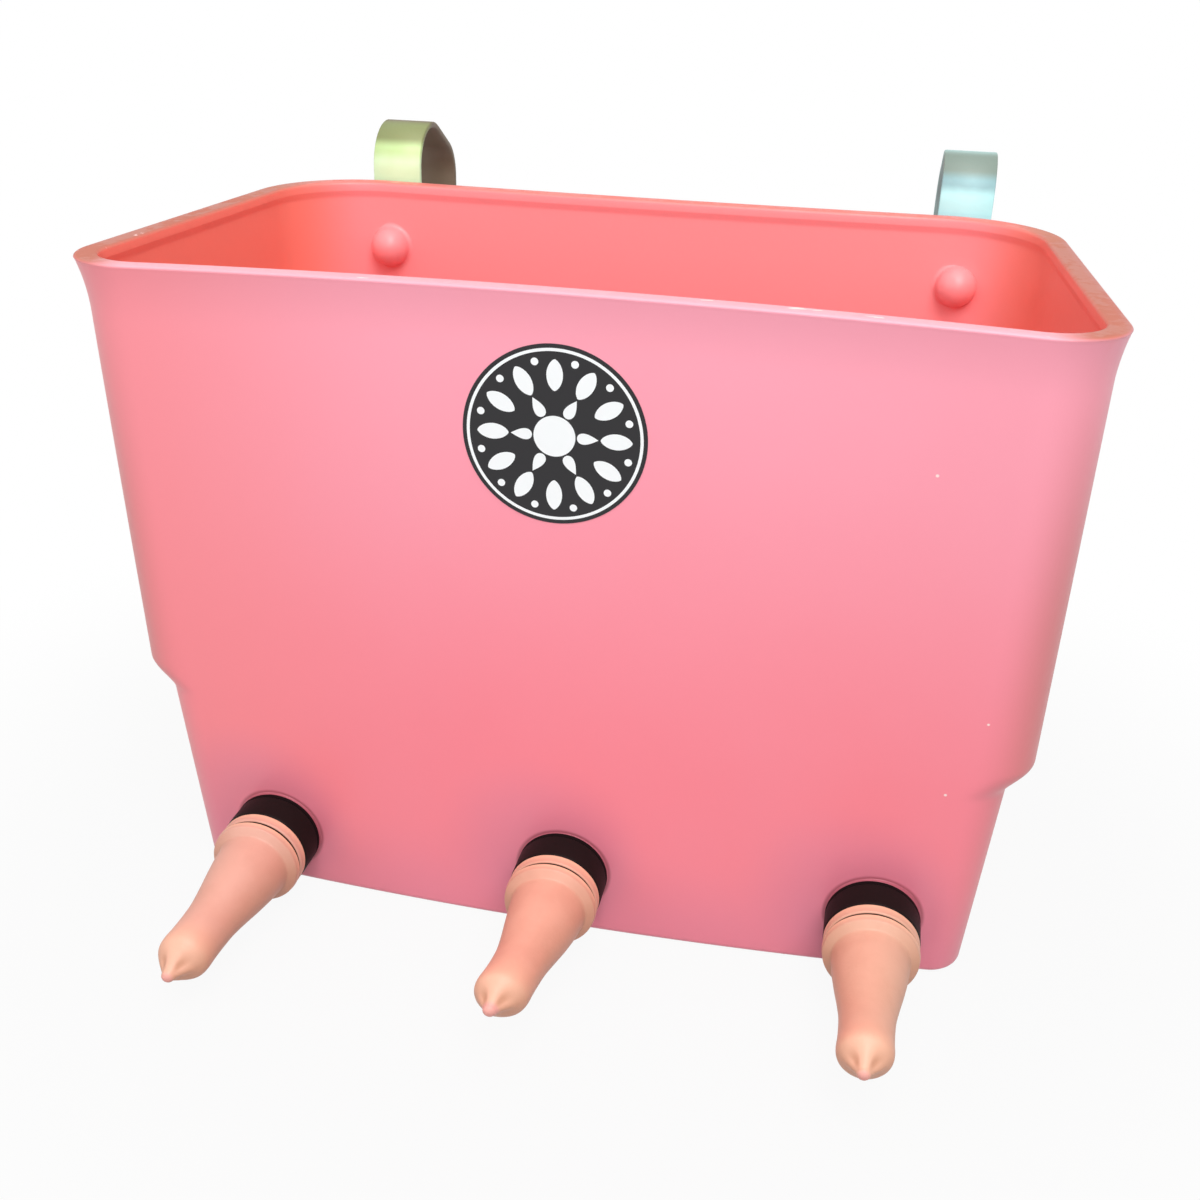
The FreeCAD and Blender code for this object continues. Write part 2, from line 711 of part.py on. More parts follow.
def end_corner(edge, height):
    """Edges across the strap's thickness at one of its ends."""
    ends = edge.Vertexes
    level = len(ends) == 2 and at_height(edge, height)
    return level and abs(ends[0].X - ends[1].X) < NEAR


def draw_hexagon(sketch, flats):
    corner = flats / math.sqrt(3)
    points = []
    for number in range(HEX_CORNERS):
        angle = math.radians(360 / HEX_CORNERS * number)
        points.append((corner * round(math.cos(angle), 9), corner * round(math.sin(angle), 9)))
    draw_profile(sketch, points)


def build_bolt(side):
    """Hex bolt through the strap into the insert, its head behind the washer."""
    under_head = strap_y() + S["strap_thickness"] + S["plate_washer_thickness"]
    body = new_body("hook_bolt_" + side, hook_x(side), under_head, bolt_z())
    head = new_sketch(body, "HeadOutline", "XZ_Plane")
    draw_hexagon(head, S["bolt_flats"])
    pad(body, "Head", head, S["bolt_head"], flipped=True)
    shank = new_sketch(body, "ShankRing", "XZ_Plane")
    draw_circle(shank, ZERO, ZERO, S["bolt_radius"])
    stem = pad(body, "Shank", shank, S["bolt_length"])
    end = -S["bolt_length"].value
    dress(body, "Chamfer", "ShankEnd", stem, lambda edge: abs(edge.CenterOfMass.y - end) < NEAR,
          S["bolt_bevel"])
    return body


def build_plate_washer(side):
    body = new_body("hook_washer_" + side, hook_x(side), strap_y() + S["strap_thickness"], bolt_z())
    sketch = new_sketch(body, "Outline", "YZ_Plane")
    bore = S["bolt_radius"] + S["thread_clearance"]
    ring = S["plate_washer_radius"]
    depth = S["plate_washer_thickness"]
    draw_profile(sketch, [(ZERO, bore), (depth, bore), (depth, ring), (ZERO, ring)])
    revolve(body, "Ring", sketch)
    return body


def build_insert(side):
    """Brass insert moulded into the wall, with a blind bore and two retaining grooves."""
    body = new_body("insert_" + side, hook_x(side), strap_y(), bolt_z())
    sketch = new_sketch(body, "Outline", "YZ_Plane")
    ring = S["insert_radius"]
    neck = ring - S["insert_groove"]
    bore = S["bolt_radius"] + S["press_clearance"]
    band = S["insert_band"]
    length = S["insert_length"]
    floor = S["insert_end"] - length
    points = [(-length, ZERO), (-length, ring), (-band * 4, ring), (-band * 4, neck),
              (-band * 3, neck), (-band * 3, ring), (-band * 2, ring), (-band * 2, neck),
              (-band, neck), (-band, ring), (ZERO, ring), (ZERO, bore), (floor, bore), (floor, ZERO)]
    draw_profile(sketch, points)
    revolve(body, "Turned", sketch)
    return body


# Teat fittings: everything is placed from the seat plane, outward along -Y

def stack_body(kind, name, place):
    return new_body("%s_%s" % (kind, name), teat_x(place), seat_y(place), teat_z(place))


def outward(points):
    """Turn (distance ahead of the seat, radius) into sketch points."""
    return [(-ahead, radius) for ahead, radius in points]


def spigot_end():
    return S["boss_depth"] + S["nut_thickness"] + S["spigot_tail"]


def chamber_end():
    """Valve seat's face behind the seat plane."""
    return spigot_end() - S["seat_depth"]


def seated_centre():
    """Closed ball's centre behind the seat plane."""
    rise = (S["ball_radius"] * S["ball_radius"] - S["seat_hole"] * S["seat_hole"]).root()
    return chamber_end() - rise - S["ball_rest_gap"]


def web_back():
    """Face of the stop web that the open ball reaches, behind the seat plane."""
    rise = (S["ball_radius"] * S["ball_radius"] - S["web_hole"] * S["web_hole"]).root()
    return seated_centre() - S["ball_travel"] - rise - S["ball_rest_gap"]


def build_collar(name, place):
    """Moulded fitting: collar and teat socket outside, spigot and ball chamber inside."""
    body = stack_body("collar", name, place)
    sketch = new_sketch(body, "Outline", "YZ_Plane")
    start = S["washer_thickness"]
    face = start + S["collar_length"]
    edge = S["fitting_bevel"]
    chamber = S["ball_radius"] + S["ball_clearance"]
    points = [(-spigot_end(), S["spigot_radius"] - edge), (edge - spigot_end(), S["spigot_radius"]),
              (start, S["spigot_radius"]), (start, S["collar_radius"]),
              (face - edge, S["collar_radius"]), (face, S["collar_radius"] - edge),
              (face, S["socket_radius"]), (face - S["socket_depth"], S["socket_radius"]),
              (face - S["socket_depth"], S["outlet_radius"]),
              (S["web_thickness"] - web_back(), S["outlet_radius"]),
              (S["web_thickness"] - web_back(), S["web_hole"]), (-web_back(), S["web_hole"]),
              (-web_back(), chamber), (-chamber_end(), chamber),
              (-chamber_end(), S["seat_radius"]), (-spigot_end(), S["seat_radius"])]
    draw_profile(sketch, outward(points))
    revolve(body, "Turned", sketch)
    slot = new_sketch(body, "SlotOutline", "XZ_Plane", -web_back())
    draw_box(slot, ZERO, -S["slot_width"] / 2, chamber, S["slot_width"])
    cut = pocket(body, "Slot", slot, S["web_thickness"], flipped=True)
    slots = body.newObject("PartDesign::PolarPattern", body.Name + "_Slots")
    slots.Originals = [cut]
    slots.Axis = (slot, ["N_Axis"])
    slots.Angle = 360
    slots.Occurrences = WEB_SLOTS
    body.Tip = slots
    return body


def build_seal(name, place):
    body = stack_body("seal_washer", name, place)
    sketch = new_sketch(body, "Outline", "YZ_Plane")
    bore = S["spigot_radius"] + S["thread_clearance"]
    points = [(ZERO, bore), (S["washer_thickness"], bore),
              (S["washer_thickness"], S["collar_radius"]), (ZERO, S["collar_radius"])]
    draw_profile(sketch, outward(points))
    revolve(body, "Ring", sketch)
    return body


def build_back_nut(name, place):
    body = stack_body("back_nut", name, place)
    outline = new_sketch(body, "Outline", "XZ_Plane", -S["boss_depth"])
    draw_hexagon(outline, S["nut_flats"])
    pad(body, "Hexagon", outline, S["nut_thickness"], flipped=True)
    ring = new_sketch(body, "BoreRing", "XZ_Plane", -S["boss_depth"])
    draw_circle(ring, ZERO, ZERO, S["spigot_radius"] + S["thread_clearance"])
    pocket(body, "Bore", ring, S["nut_thickness"] * 2, middle=True)
    return body


def build_valve_seat(name, place):
    """Ring at the spigot's inner end that the ball closes against."""
    body = stack_body("valve_seat", name, place)
    sketch = new_sketch(body, "Outline", "YZ_Plane")
    outside = S["seat_radius"] - S["press_clearance"]
    bevel = S["seat_bevel"]
    points = [(-chamber_end(), S["seat_hole"]), (-chamber_end(), outside),
              (-spigot_end(), outside), (-spigot_end(), S["seat_hole"] + bevel),
              (bevel - spigot_end(), S["seat_hole"])]
    draw_profile(sketch, outward(points))
    revolve(body, "Ring", sketch)
    return body


def build_ball(name, place):
    body = stack_body("valve_ball", name, place)
    ball = body.newObject("PartDesign::AdditiveSphere", body.Name + "_Sphere")
    ball.AttachmentSupport = [(origin_plane(body, "XY_Plane"), "")]
    ball.MapMode = "FlatFace"
    ball.Radius = S["ball_radius"].value
    bind(ball, "Radius", S["ball_radius"])
    bind(ball, "AttachmentOffset.Base.y", seated_centre())
    return body


def build_teat(name, place):
    """Hollow rubber teat: stem in the socket, flange, groove, cuff, shaft, bulb and tip."""
    body = stack_body("teat", name, place)
    sketch = new_sketch(body, "Outline", "YZ_Plane")
    face = S["washer_thickness"] + S["collar_length"]
    stem = S["socket_radius"] - S["thread_clearance"]
    stem_end = face - S["socket_depth"] + S["thread_clearance"] * 2
    flange = face + S["flange_thickness"]
    cuff = flange + S["groove_width"]
    cuff_end = cuff + S["cuff_length"]
    roll = S["cuff_radius"] - S["neck_radius"]
    end = face + S["teat_length"]
    nipple = end - S["nipple_length"]
    bulb = nipple - S["nose_length"]
    waist = bulb - S["bulb_length"]
    bevel = S["tip_bevel"]
    thick = S["rubber"]
    cavity_end = nipple - thick
    points = [(stem_end, S["stem_bore"]), (stem_end, stem), (face, stem),
              (face, S["flange_radius"]), (flange, S["flange_radius"]),
              (flange, S["groove_radius"]), (cuff, S["groove_radius"]), (cuff, S["cuff_radius"]),
              (cuff_end, S["cuff_radius"]), (cuff_end + roll, S["neck_radius"]),
              (waist, S["shaft_radius"]), (bulb, S["bulb_radius"]), (nipple, S["nipple_radius"]),
              (end - bevel, S["tip_radius"]), (end, S["tip_radius"] - bevel), (end, ZERO),
              (cavity_end, ZERO),
              (cavity_end - thick, S["nipple_radius"]), (bulb, S["bulb_radius"] - thick),
              (waist, S["shaft_radius"] - thick), (cuff_end + roll, S["neck_radius"] - thick),
              (face, S["stem_bore"])]
    bends = {8: (roll, 1), 9: (S["shaft_sweep"], -1), 11: (S["nose_bend"], 1)}
    draw_profile(sketch, outward(points), bends)
    revolve(body, "Moulding", sketch)
    return body


def build_all():
    made = [build_tub()]
    for side in SIDES:
        made += [build_hook(side), build_bolt(side), build_plate_washer(side), build_insert(side)]
    for name, place in TEATS:
        made += [build_collar(name, place), build_seal(name, place), build_back_nut(name, place),
                 build_valve_seat(name, place), build_ball(name, place), build_teat(name, place)]
    return made


def check_document():
    doc.recompute()
    for thing in doc.Objects:
        if "Invalid" in thing.State or "Error" in thing.State:
            raise RuntimeError("%s failed: %s" % (thing.Name, thing.State))


def export(pieces):
    os.makedirs("parts", exist_ok=True)
    for piece in pieces:
        shape = piece.Shape
        if shape.isNull() or not shape.isValid() or shape.Volume <= 0:
            raise RuntimeError("%s has no valid solid" % piece.Label)
        print("%-22s %10.1f mm3 %3d solids" % (piece.Label, shape.Volume, len(shape.Solids)))
        shape.exportStep("parts/%s.step" % piece.Label)


pieces = build_all()
check_document()
export(pieces)
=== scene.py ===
"""Looks of the calf feeder: the moulded tub, its label, three teats on black fittings, two hooks.

Lengths in the dataclasses are millimetres in the model's own frame: origin on the flat base
under the middle of the rim, +Z up, front wall towards -Y. Meshes are written in metres.
"""

import json
import logging
import math
from dataclasses import dataclass, field
from enum import Enum
from itertools import accumulate
from typing import Callable, Iterable, Sequence, Union

import bmesh
import bpy
import numpy as np
from mathutils import Matrix, Vector

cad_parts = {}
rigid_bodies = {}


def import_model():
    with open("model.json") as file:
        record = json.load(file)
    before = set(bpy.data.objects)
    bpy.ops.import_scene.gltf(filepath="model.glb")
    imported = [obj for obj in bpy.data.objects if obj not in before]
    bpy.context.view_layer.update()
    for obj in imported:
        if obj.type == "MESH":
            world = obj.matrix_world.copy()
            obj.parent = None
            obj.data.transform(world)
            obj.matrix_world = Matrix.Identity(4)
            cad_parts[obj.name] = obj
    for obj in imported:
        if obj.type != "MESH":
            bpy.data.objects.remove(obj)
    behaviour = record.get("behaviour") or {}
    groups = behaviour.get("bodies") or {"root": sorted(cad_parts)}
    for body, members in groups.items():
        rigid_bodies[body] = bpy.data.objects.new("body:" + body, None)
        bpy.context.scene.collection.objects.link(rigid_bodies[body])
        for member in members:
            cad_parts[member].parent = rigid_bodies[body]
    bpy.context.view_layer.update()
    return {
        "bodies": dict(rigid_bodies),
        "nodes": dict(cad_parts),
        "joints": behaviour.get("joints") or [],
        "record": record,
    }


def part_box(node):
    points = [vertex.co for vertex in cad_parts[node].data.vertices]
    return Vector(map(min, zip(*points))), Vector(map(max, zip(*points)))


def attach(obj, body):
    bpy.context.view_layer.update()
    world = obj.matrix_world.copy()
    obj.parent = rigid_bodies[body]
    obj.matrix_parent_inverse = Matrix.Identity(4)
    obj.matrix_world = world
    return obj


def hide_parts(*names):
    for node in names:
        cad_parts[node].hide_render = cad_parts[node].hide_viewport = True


LOG = logging.getLogger("feeder")
MM = 0.001
BODY = "feeder"
FRAME_PIXELS = 1200
SENSOR = 36.0
SIDES = ("left", "right")
TEATS = ("left", "middle", "right")
BENDS = {"left": (-6.6, -6.5), "middle": (-6.7, 3.8), "right": (-1.0, 4.6)}
TINTS = {"left": ((216, 162, 144), (202, 142, 122)),
         "middle": ((220, 162, 140), (202, 138, 116)),
         "right": ((218, 167, 143), (202, 143, 118))}

SEAT_FLAT = (12.0, 15.0, 19.0, 22.0)
SEAT_BEND = 4
SEAT_ROWS = len(SEAT_FLAT) + 2 * SEAT_BEND + 1
FILL = (0.97, 0.85, 0.6, 0.3)
SUNK = 0.04
POINT = 1e-6

Profile = list[tuple[float, float]]
Faces = list[tuple[int, ...]]
Mesh = tuple[np.ndarray, Faces]
Colour = tuple[float, float, float]
Point = tuple[float, float, float]
Place = tuple[float, float, float, float]
Number = Union[float, int, "Value"]


class Side(Enum):
    """Which way a wall surface looks."""

    OUTSIDE = "outside"
    INSIDE = "inside"


# Shader trees

def operator(operation: str, reflected: bool = False) -> Callable[["Value", Number], "Value"]:
    """Method of Value that adds one Math node; reflected takes the other number first."""

    def method(self: "Value", other: Number) -> "Value":
        """Add the node."""
        operands = (other, self) if reflected else (self, other)
        return self.tree.math(operation, *operands)

    return method


class Value:
    """A number socket of a node tree that takes Python's operators as Math nodes."""

    __add__ = __radd__ = operator("ADD")
    __mul__ = __rmul__ = operator("MULTIPLY")
    __sub__ = operator("SUBTRACT")
    __rsub__ = operator("SUBTRACT", True)
    __truediv__ = operator("DIVIDE")
    __pow__ = operator("POWER")
    most = operator("MAXIMUM")

    def __init__(self, tree: "Tree", socket: bpy.types.NodeSocket) -> None:
        """Wrap one output socket of a tree."""
        self.tree = tree
        self.socket = socket

    def __abs__(self) -> "Value":
        """Absolute value."""
        return self.tree.math("ABSOLUTE", self)

    def ramp(self, low: float, high: float) -> "Value":
        """Rise from 0 at low to 1 at high, eased at both ends; a low above high makes it a fall."""
        limits = {"From Min": min(low, high), "From Max": max(low, high)}
        made = self.tree.node("ShaderNodeMapRange", {"interpolation_type": "SMOOTHSTEP"},
                              Value=self, **limits)
        risen = Value(self.tree, made.outputs["Result"])
        return risen if low <= high else 1.0 - risen


class Tree:
    """A node tree under construction."""

    def __init__(self, tree: bpy.types.NodeTree) -> None:
        """Take over a tree and empty it."""
        self.tree = tree
        self.tree.nodes.clear()

    def feed(self, socket: bpy.types.NodeSocket, value: object) -> None:
        """Link or set one input socket.

        Args:
            socket: the input to feed.
            value: a Value, an output socket, a colour or a plain number.
        """
        if isinstance(value, Value):
            self.tree.links.new(value.socket, socket)
        elif isinstance(value, bpy.types.NodeSocket):
            self.tree.links.new(value, socket)
        elif isinstance(value, tuple) and len(value) == 3 and socket.type == "RGBA":
            socket.default_value = (*value, 1.0)
        else:
            socket.default_value = value

    def node(self, kind: str, settings: dict[str, object] | None = None,
             **values: object) -> bpy.types.Node:
        """Add a node, set it up and feed it.

        Args:
            kind: the node's type.
            settings: its own properties, set before its sockets.
            values: what feeds its sockets, by the socket's name.

        Returns:
            The node.
        """
        made = self.tree.nodes.new(kind)
        for key, setting in (settings or {}).items():
            setattr(made, key, setting)
        for key, value in values.items():
            self.feed(made.inputs[key], value)
        return made

    def math(self, operation: str, *operands: Number) -> Value:
        """Add a Math node with its operands in order and return its value."""
        made = self.node("ShaderNodeMath", {"operation": operation})
        for socket, operand in zip(made.inputs, operands):
            self.feed(socket, operand)
        return Value(self, made.outputs[0])

    def seen(self) -> Value:
        """1 where the camera, a gloss or a clear surface sees it, for a plain white background."""
        path = self.node("ShaderNodeLightPath")
        camera, glossy, clear = (Value(self, path.outputs[f"Is {ray} Ray"])
                                 for ray in ("Camera", "Glossy", "Transmission"))
        return camera.most(glossy).most(clear)


class Shade(Tree):
    """One material's tree: a Principled shader and what feeds it."""

    def __init__(self, name: str) -> None:
        """Start an empty material called name, with its shader joined to the output."""
        self.material = bpy.data.materials.new(name)
        self.material.use_nodes = True
        super().__init__(self.material.node_tree)
        self.shader = self.node("ShaderNodeBsdfPrincipled")
        self.output = self.node("ShaderNodeOutputMaterial", None,
                                Surface=self.shader.outputs["BSDF"])

    def place(self) -> tuple[Value, Value, Value]:
        """Object coordinates in millimetres, one value for each axis."""
        coordinates = self.node("ShaderNodeTexCoord")
        parts = self.node("ShaderNodeSeparateXYZ", None, Vector=coordinates.outputs["Object"])
        x, y, z = (Value(self, parts.outputs[axis]) * (1 / MM) for axis in ("X", "Y", "Z"))
        return x, y, z

    def attribute(self, name: str) -> Value:
        """A number that the mesh keeps at each of its points."""
        made = self.node("ShaderNodeAttribute", {"attribute_name": name})
        return Value(self, made.outputs["Fac"])

    def noise(self, cell: float, detail: float = 3.0,
              stretch: Sequence[float] = (1, 1, 1)) -> Value:
        """Smooth noise on Object coordinates.

        Args:
            cell: size of its blotches in millimetres.
            detail: octaves.
            stretch: how much longer the blotches are along each axis.

        Returns:
            A value about 0.5.
        """
        coordinates = self.node("ShaderNodeTexCoord")
        mapping = self.node("ShaderNodeMapping", None, Vector=coordinates.outputs["Object"],
                            Scale=tuple(1.0 / share for share in stretch))
        made = self.node("ShaderNodeTexNoise", None, Vector=mapping.outputs[0],
                         Scale=1 / MM / cell, Detail=detail, Roughness=0.5)
        return Value(self, made.outputs[0])

    def blend(self, share: Number, first: object, second: object) -> bpy.types.NodeSocket:
        """Mix two colours, each a colour or a socket; share is how much of the second shows."""
        made = self.node("ShaderNodeMix", {"data_type": "RGBA", "clamp_factor": True})
        for number, value in ((0, share), (6, first), (7, second)):
            self.feed(made.inputs[number], value)
        return made.outputs[2]

    def bump(self, height: Value, depth: float) -> None:
        """Bump the surface by height, over depth millimetres."""
        made = self.node("ShaderNodeBump", None, Height=height, Distance=depth * MM, Strength=1.0)
        self.feed(self.shader.inputs["Normal"], made.outputs[0])

    def finish(self, **values: object) -> bpy.types.Material:
        """Feed the shader by its sockets' names and hand over the material.

        Args:
            values: what feeds the shader, by socket name with underscores for spaces.

        Returns:
            The finished material.
        """
        for key, value in values.items():
            self.feed(self.shader.inputs[key.replace("_", " ")], value)
        return self.material


def linear(red: int, green: int, blue: int) -> Colour:
    """Screen colour from 0 to 255 as a shader colour."""
    shares = (red / 255.0, green / 255.0, blue / 255.0)
    return tuple(s / 12.92 if s <= 0.04045 else ((s + 0.055) / 1.055) ** 2.4 for s in shares)


# Meshes

def make_piece(name: str, vertices: np.ndarray, faces: Iterable[Sequence[int]],
               material: bpy.types.Material, smooth: bool = True) -> bpy.types.Object:
    """Make an object at the origin from millimetre points.

    Args:
        name: the piece's name.
        vertices: points in millimetres.
        faces: corner numbers of each face, seen from outside anticlockwise.
        material: its finish.
        smooth: shade it smooth.

    Returns:
        The object, linked to the scene.
    """
    mesh = bpy.data.meshes.new(name)
    mesh.from_pydata((np.asarray(vertices, float) * MM).tolist(), [], [tuple(f) for f in faces])
    mesh.validate()
    mesh.polygons.foreach_set("use_smooth", [smooth] * len(mesh.polygons))
    mesh.materials.append(material)
    made = bpy.data.objects.new(name, mesh)
    bpy.context.scene.collection.objects.link(made)
    return made


def recalculate(piece: bpy.types.Object) -> None:
    """Merge doubles and turn every face of a closed piece outwards."""
    work = bmesh.new()
    work.from_mesh(piece.data)
    bmesh.ops.remove_doubles(work, verts=work.verts, dist=0.002 * MM)
    bmesh.ops.recalc_face_normals(work, faces=work.faces)
    work.to_mesh(piece.data)
    work.free()


def apply_modifiers(piece: bpy.types.Object) -> None:
    """Turn a piece's modifiers into plain mesh."""
    graph = bpy.context.evaluated_depsgraph_get()
    graph.update()
    mesh = bpy.data.meshes.new_from_object(piece.evaluated_get(graph))
    piece.modifiers.clear()
    piece.data = mesh


def rounded(corners: Sequence[tuple[float, float, float]], steps: int = 5) -> Profile:
    """Outline with each corner rounded.

    Args:
        corners: (ahead, radius, rounding) of each corner in millimetres.
        steps: spans in each rounding.

    Returns:
        The points of the open outline.
    """
    points: Profile = []
    last = len(corners) - 1
    for number, (ahead, radius, bend) in enumerate(corners):
        if bend <= 0 or number in (0, last):
            points.append((ahead, radius))
            continue
        here = np.array((ahead, radius))
        before = np.array(corners[number - 1][:2]) - here
        after = np.array(corners[number + 1][:2]) - here
        before_length, after_length = np.linalg.norm(before), np.linalg.norm(after)
        before, after = before / before_length, after / after_length
        half = math.acos(max(-1.0, min(1.0, float(before @ after)))) / 2
        cut = min(bend / math.tan(half), before_length * 0.49, after_length * 0.49)
        start, end = here + before * cut, here + after * cut
        for step in range(steps + 1):
            share = step / steps
            point = (start * (1 - share) ** 2 + here * 2 * share * (1 - share) + end * share ** 2)
            points.append((float(point[0]), float(point[1])))
    return points


def turns(count: int) -> list[float]:
    """Evenly spaced angles of a full turn."""
    return [2 * math.pi * number / count for number in range(count)]


def quarter(steps: int) -> list[float]:
    """Angles from 0 to a quarter turn."""
    return [math.pi / 2 * step / steps for step in range(steps + 1)]


def circle(radius: float, count: int) -> np.ndarray:
    """Points round a flat circle about 0."""
    return np.array([(radius * math.cos(angle), radius * math.sin(angle))
                     for angle in turns(count)])


def ring_faces(first: Sequence[int], second: Sequence[int], turned: bool = False) -> Faces:
    """Faces between two rings of points; a ring of one point closes an end."""
    count = max(len(first), len(second))
    faces: Faces = []
    for number in range(count):
        follow = (number + 1) % count
        corners = (first[number % len(first)], first[follow % len(first)],
                   second[follow % len(second)], second[number % len(second)])
        face = tuple(dict.fromkeys(corners))
        if len(face) > 2:
            faces.append(face[::-1] if turned else face)
    return faces


def stack(rings: Sequence[Sequence[Sequence[float]]], turned: bool = False,
          closed: bool = False) -> Mesh:
    """Join rings of points with faces, each ring to the next.

    Args:
        rings: the rings, each with as many points as the others or only one.
        turned: look the other way.
        closed: join the last ring to the first.

    Returns:
        The points and the faces.
    """
    rows: list[range] = []
    count = 0
    for ring in rings:
        rows.append(range(count, count + len(ring)))
        count += len(ring)
    faces: Faces = []
    for first, second in zip(rows, rows[1:] + (rows[:1] if closed else [])):
        faces += ring_faces(first, second, turned)
    return np.array([point for ring in rings for point in ring], float), faces


def lathe(profile: Profile, centre: Sequence[float], count: int,
          wobble: Callable[[float, float, float], float] | None = None) -> Mesh:
    """Turn a closed profile round an axis that runs forwards, along -Y, from centre.

    Args:
        profile: (ahead, radius) points; a radius of 0 closes an end.
        centre: the axis's point at ahead 0, in millimetres.
        count: sides of the turned shape.
        wobble: gives what a point's radius is multiplied by, from (ahead, radius, angle).

    Returns:
        The points and the faces.
    """
    rings = []
    for ahead, radius in profile:
        ring = []
        for angle in turns(1 if radius <= POINT else count):
            reach = radius * (wobble(ahead, radius, angle) if wobble else 1.0)
            ring.append((centre[0] + reach * math.cos(angle), centre[1] - ahead,
                         centre[2] + reach * math.sin(angle)))
        rings.append(ring)
    return stack(rings, closed=True)


def join(parts: Sequence[Mesh]) -> Mesh:
    """Put several meshes' points and faces in one list."""
    points = np.vstack([own_points for own_points, _ in parts])
    faces: Faces = []
    count = 0
    for own_points, own_faces in parts:
        faces += [tuple(corner + count for corner in face) for face in own_faces]
        count += len(own_points)
    return points, faces


def mark(piece: bpy.types.Object, **values: np.ndarray) -> None:
    """Keep one number at each point of a piece, under each name."""
    for name, numbers in values.items():
        made = piece.data.attributes.new(name, "FLOAT", "POINT")
        made.data.foreach_set("value", np.asarray(numbers, float))


# Finishes

@dataclass(frozen=True)
class PinkPlastic:
    """Pink polyethylene, redder low down and inside, with a worn rim; painted light and shade on
    the outside: cooler and lighter high up, plum shade low down and beside the fittings, shade at
    the side corners, a highlight and glints along the rim's front edge.
    """

    high: Colour = linear(254, 165, 184)
    left: Colour = linear(252, 140, 146)
    low: Colour = linear(250, 134, 148)
    # Painted shade, low down and beside the fittings.
    plum: Colour = linear(214, 130, 156)
    # Painted shade at the side corners.
    edge: Colour = linear(206, 116, 112)
    inner: Colour = linear(255, 152, 155)
    inner_side: Colour = linear(252, 134, 116)
    land: Colour = linear(174, 98, 72)
    worn: Colour = linear(198, 146, 120)
    # Painted highlight along the rim's front edge.
    shine: Colour = linear(252, 172, 184)
    back_rim: Colour = linear(232, 122, 110)
    speck: Colour = linear(255, 226, 222)
    # Painted contact shade where each collar meets the wall.
    contact: Colour = linear(112, 40, 50)
    fittings: tuple[tuple[float, float], ...] = ((-136.3, 29.7), (1.9, 33.2), (140.1, 31.2))
    specks: tuple[Point, ...] = ((139.6, 241.7, 0.8), (161.7, 101.2, 0.8), (173.1, 138.5, 0.7))
    nick: Point = (-190.1, -53.9, 4.5)
    facing: tuple[float, float] = (-40.0, -70.0)
    # Reaches of the painted shadow beside each fitting and of the painted contact shade round each
    # collar, in millimetres.
    collar_shadow: tuple[float, float] = (38.0, 16.0)
    contact_shadow: tuple[float, float] = (22.6, 20.9)

    def material(self) -> bpy.types.Material:
        """Build the tree."""
        shade = Shade("pink_plastic")
        x, y, z = shade.place()
        cloud, patch, fine = shade.noise(110.0), shade.noise(26.0, 4.0), shade.noise(4.0, 4.0)
        inner = shade.blend(abs(x).ramp(150.0, 186.0), self.inner, self.inner_side)
        colour = shade.blend(shade.attribute("inside"), self.front(shade, cloud - 0.5), inner)
        wear = (patch * 0.6 + fine * 0.4).ramp(0.46, 0.56)
        side = abs(x).ramp(166.0, 186.0)
        back = y.ramp(20.0, 105.0)
        # Painted highlight along the rim's front edge, giving way to the back rim's colour further
        # back.
        rim = shade.blend(back, self.shine, self.back_rim)
        rim = shade.blend(side * 0.95, rim, self.land)
        rim = shade.blend(wear * side * back * 0.5, rim, self.worn)
        # Painted glints: short pale streaks along the front of the rim.
        streak = shade.noise(5.0, 3.0, (3.0, 1.0, 1.0))
        rim = shade.blend(streak.ramp(0.66, 0.69) * y.ramp(-70.0, -92.0), rim, self.speck)
        nick_x, nick_y, reach = self.nick
        scar = (((x - nick_x) * 3.5) ** 2 + (y - nick_y) ** 2) ** 0.5
        rim = shade.blend(scar.ramp(reach, reach * 0.5) * fine.ramp(0.4, 0.5), rim, self.speck)
        top = shade.attribute("land")
        colour = shade.blend(top * 0.9, colour, rim)
        shade.bump(fine * 0.35 + cloud, 0.22)
        return shade.finish(Base_Color=colour, Roughness=0.33 + fine * 0.1 + top * wear * 0.2)

    def front(self, shade: Shade, tone: Value) -> bpy.types.NodeSocket:
        """Colour of the outside, from tone, a cloudy number about 0, with painted light and shade.
        """
        x, y, z = shade.place()
        ahead = y.ramp(*self.facing)
        # Partly painted light: lighter and cooler towards the top, as light falls from above;
        # partly the plastic's own tone.
        colour = shade.blend(z.ramp(70.0, 320.0) + tone * 0.3, self.low, self.high)
        colour = shade.blend(x.ramp(-40.0, -200.0) * 0.8, colour, self.left)
        # Painted shade: darker plum towards the bottom.
        colour = shade.blend(z.ramp(52.0, 4.0) * 0.4 + tone * 0.15, colour, self.plum)
        # Painted shadow: a soft plum shadow to the upper left of each fitting, and painted contact
        # shade in a dark ring where each collar meets the wall.
        for middle_x, middle_z in self.fittings:
            across, up = x - middle_x, z - middle_z
            far = (across ** 2 + up ** 2) ** 0.5
            aside = far * 0.78 + (across - up) * 0.16
            colour = shade.blend(aside.ramp(*self.collar_shadow) * ahead * 0.42, colour, self.plum)
            colour = shade.blend(far.ramp(*self.contact_shadow) * ahead * 0.6, colour, self.contact)
        # Painted shade: darker at the rounded side corners, most below mid-height.
        border = abs(x).ramp(170.0, 199.0) * z.ramp(330.0, 170.0)
        colour = shade.blend(border * 0.85, colour, self.edge)
        for spot_x, spot_z, radius in self.specks:
            far = ((x - spot_x) ** 2 + (z - spot_z) ** 2) ** 0.5
            spot = far.ramp(radius, radius * 0.5) * y.ramp(-60.0, -70.0)
            colour = shade.blend(spot, colour, self.speck)
        return colour


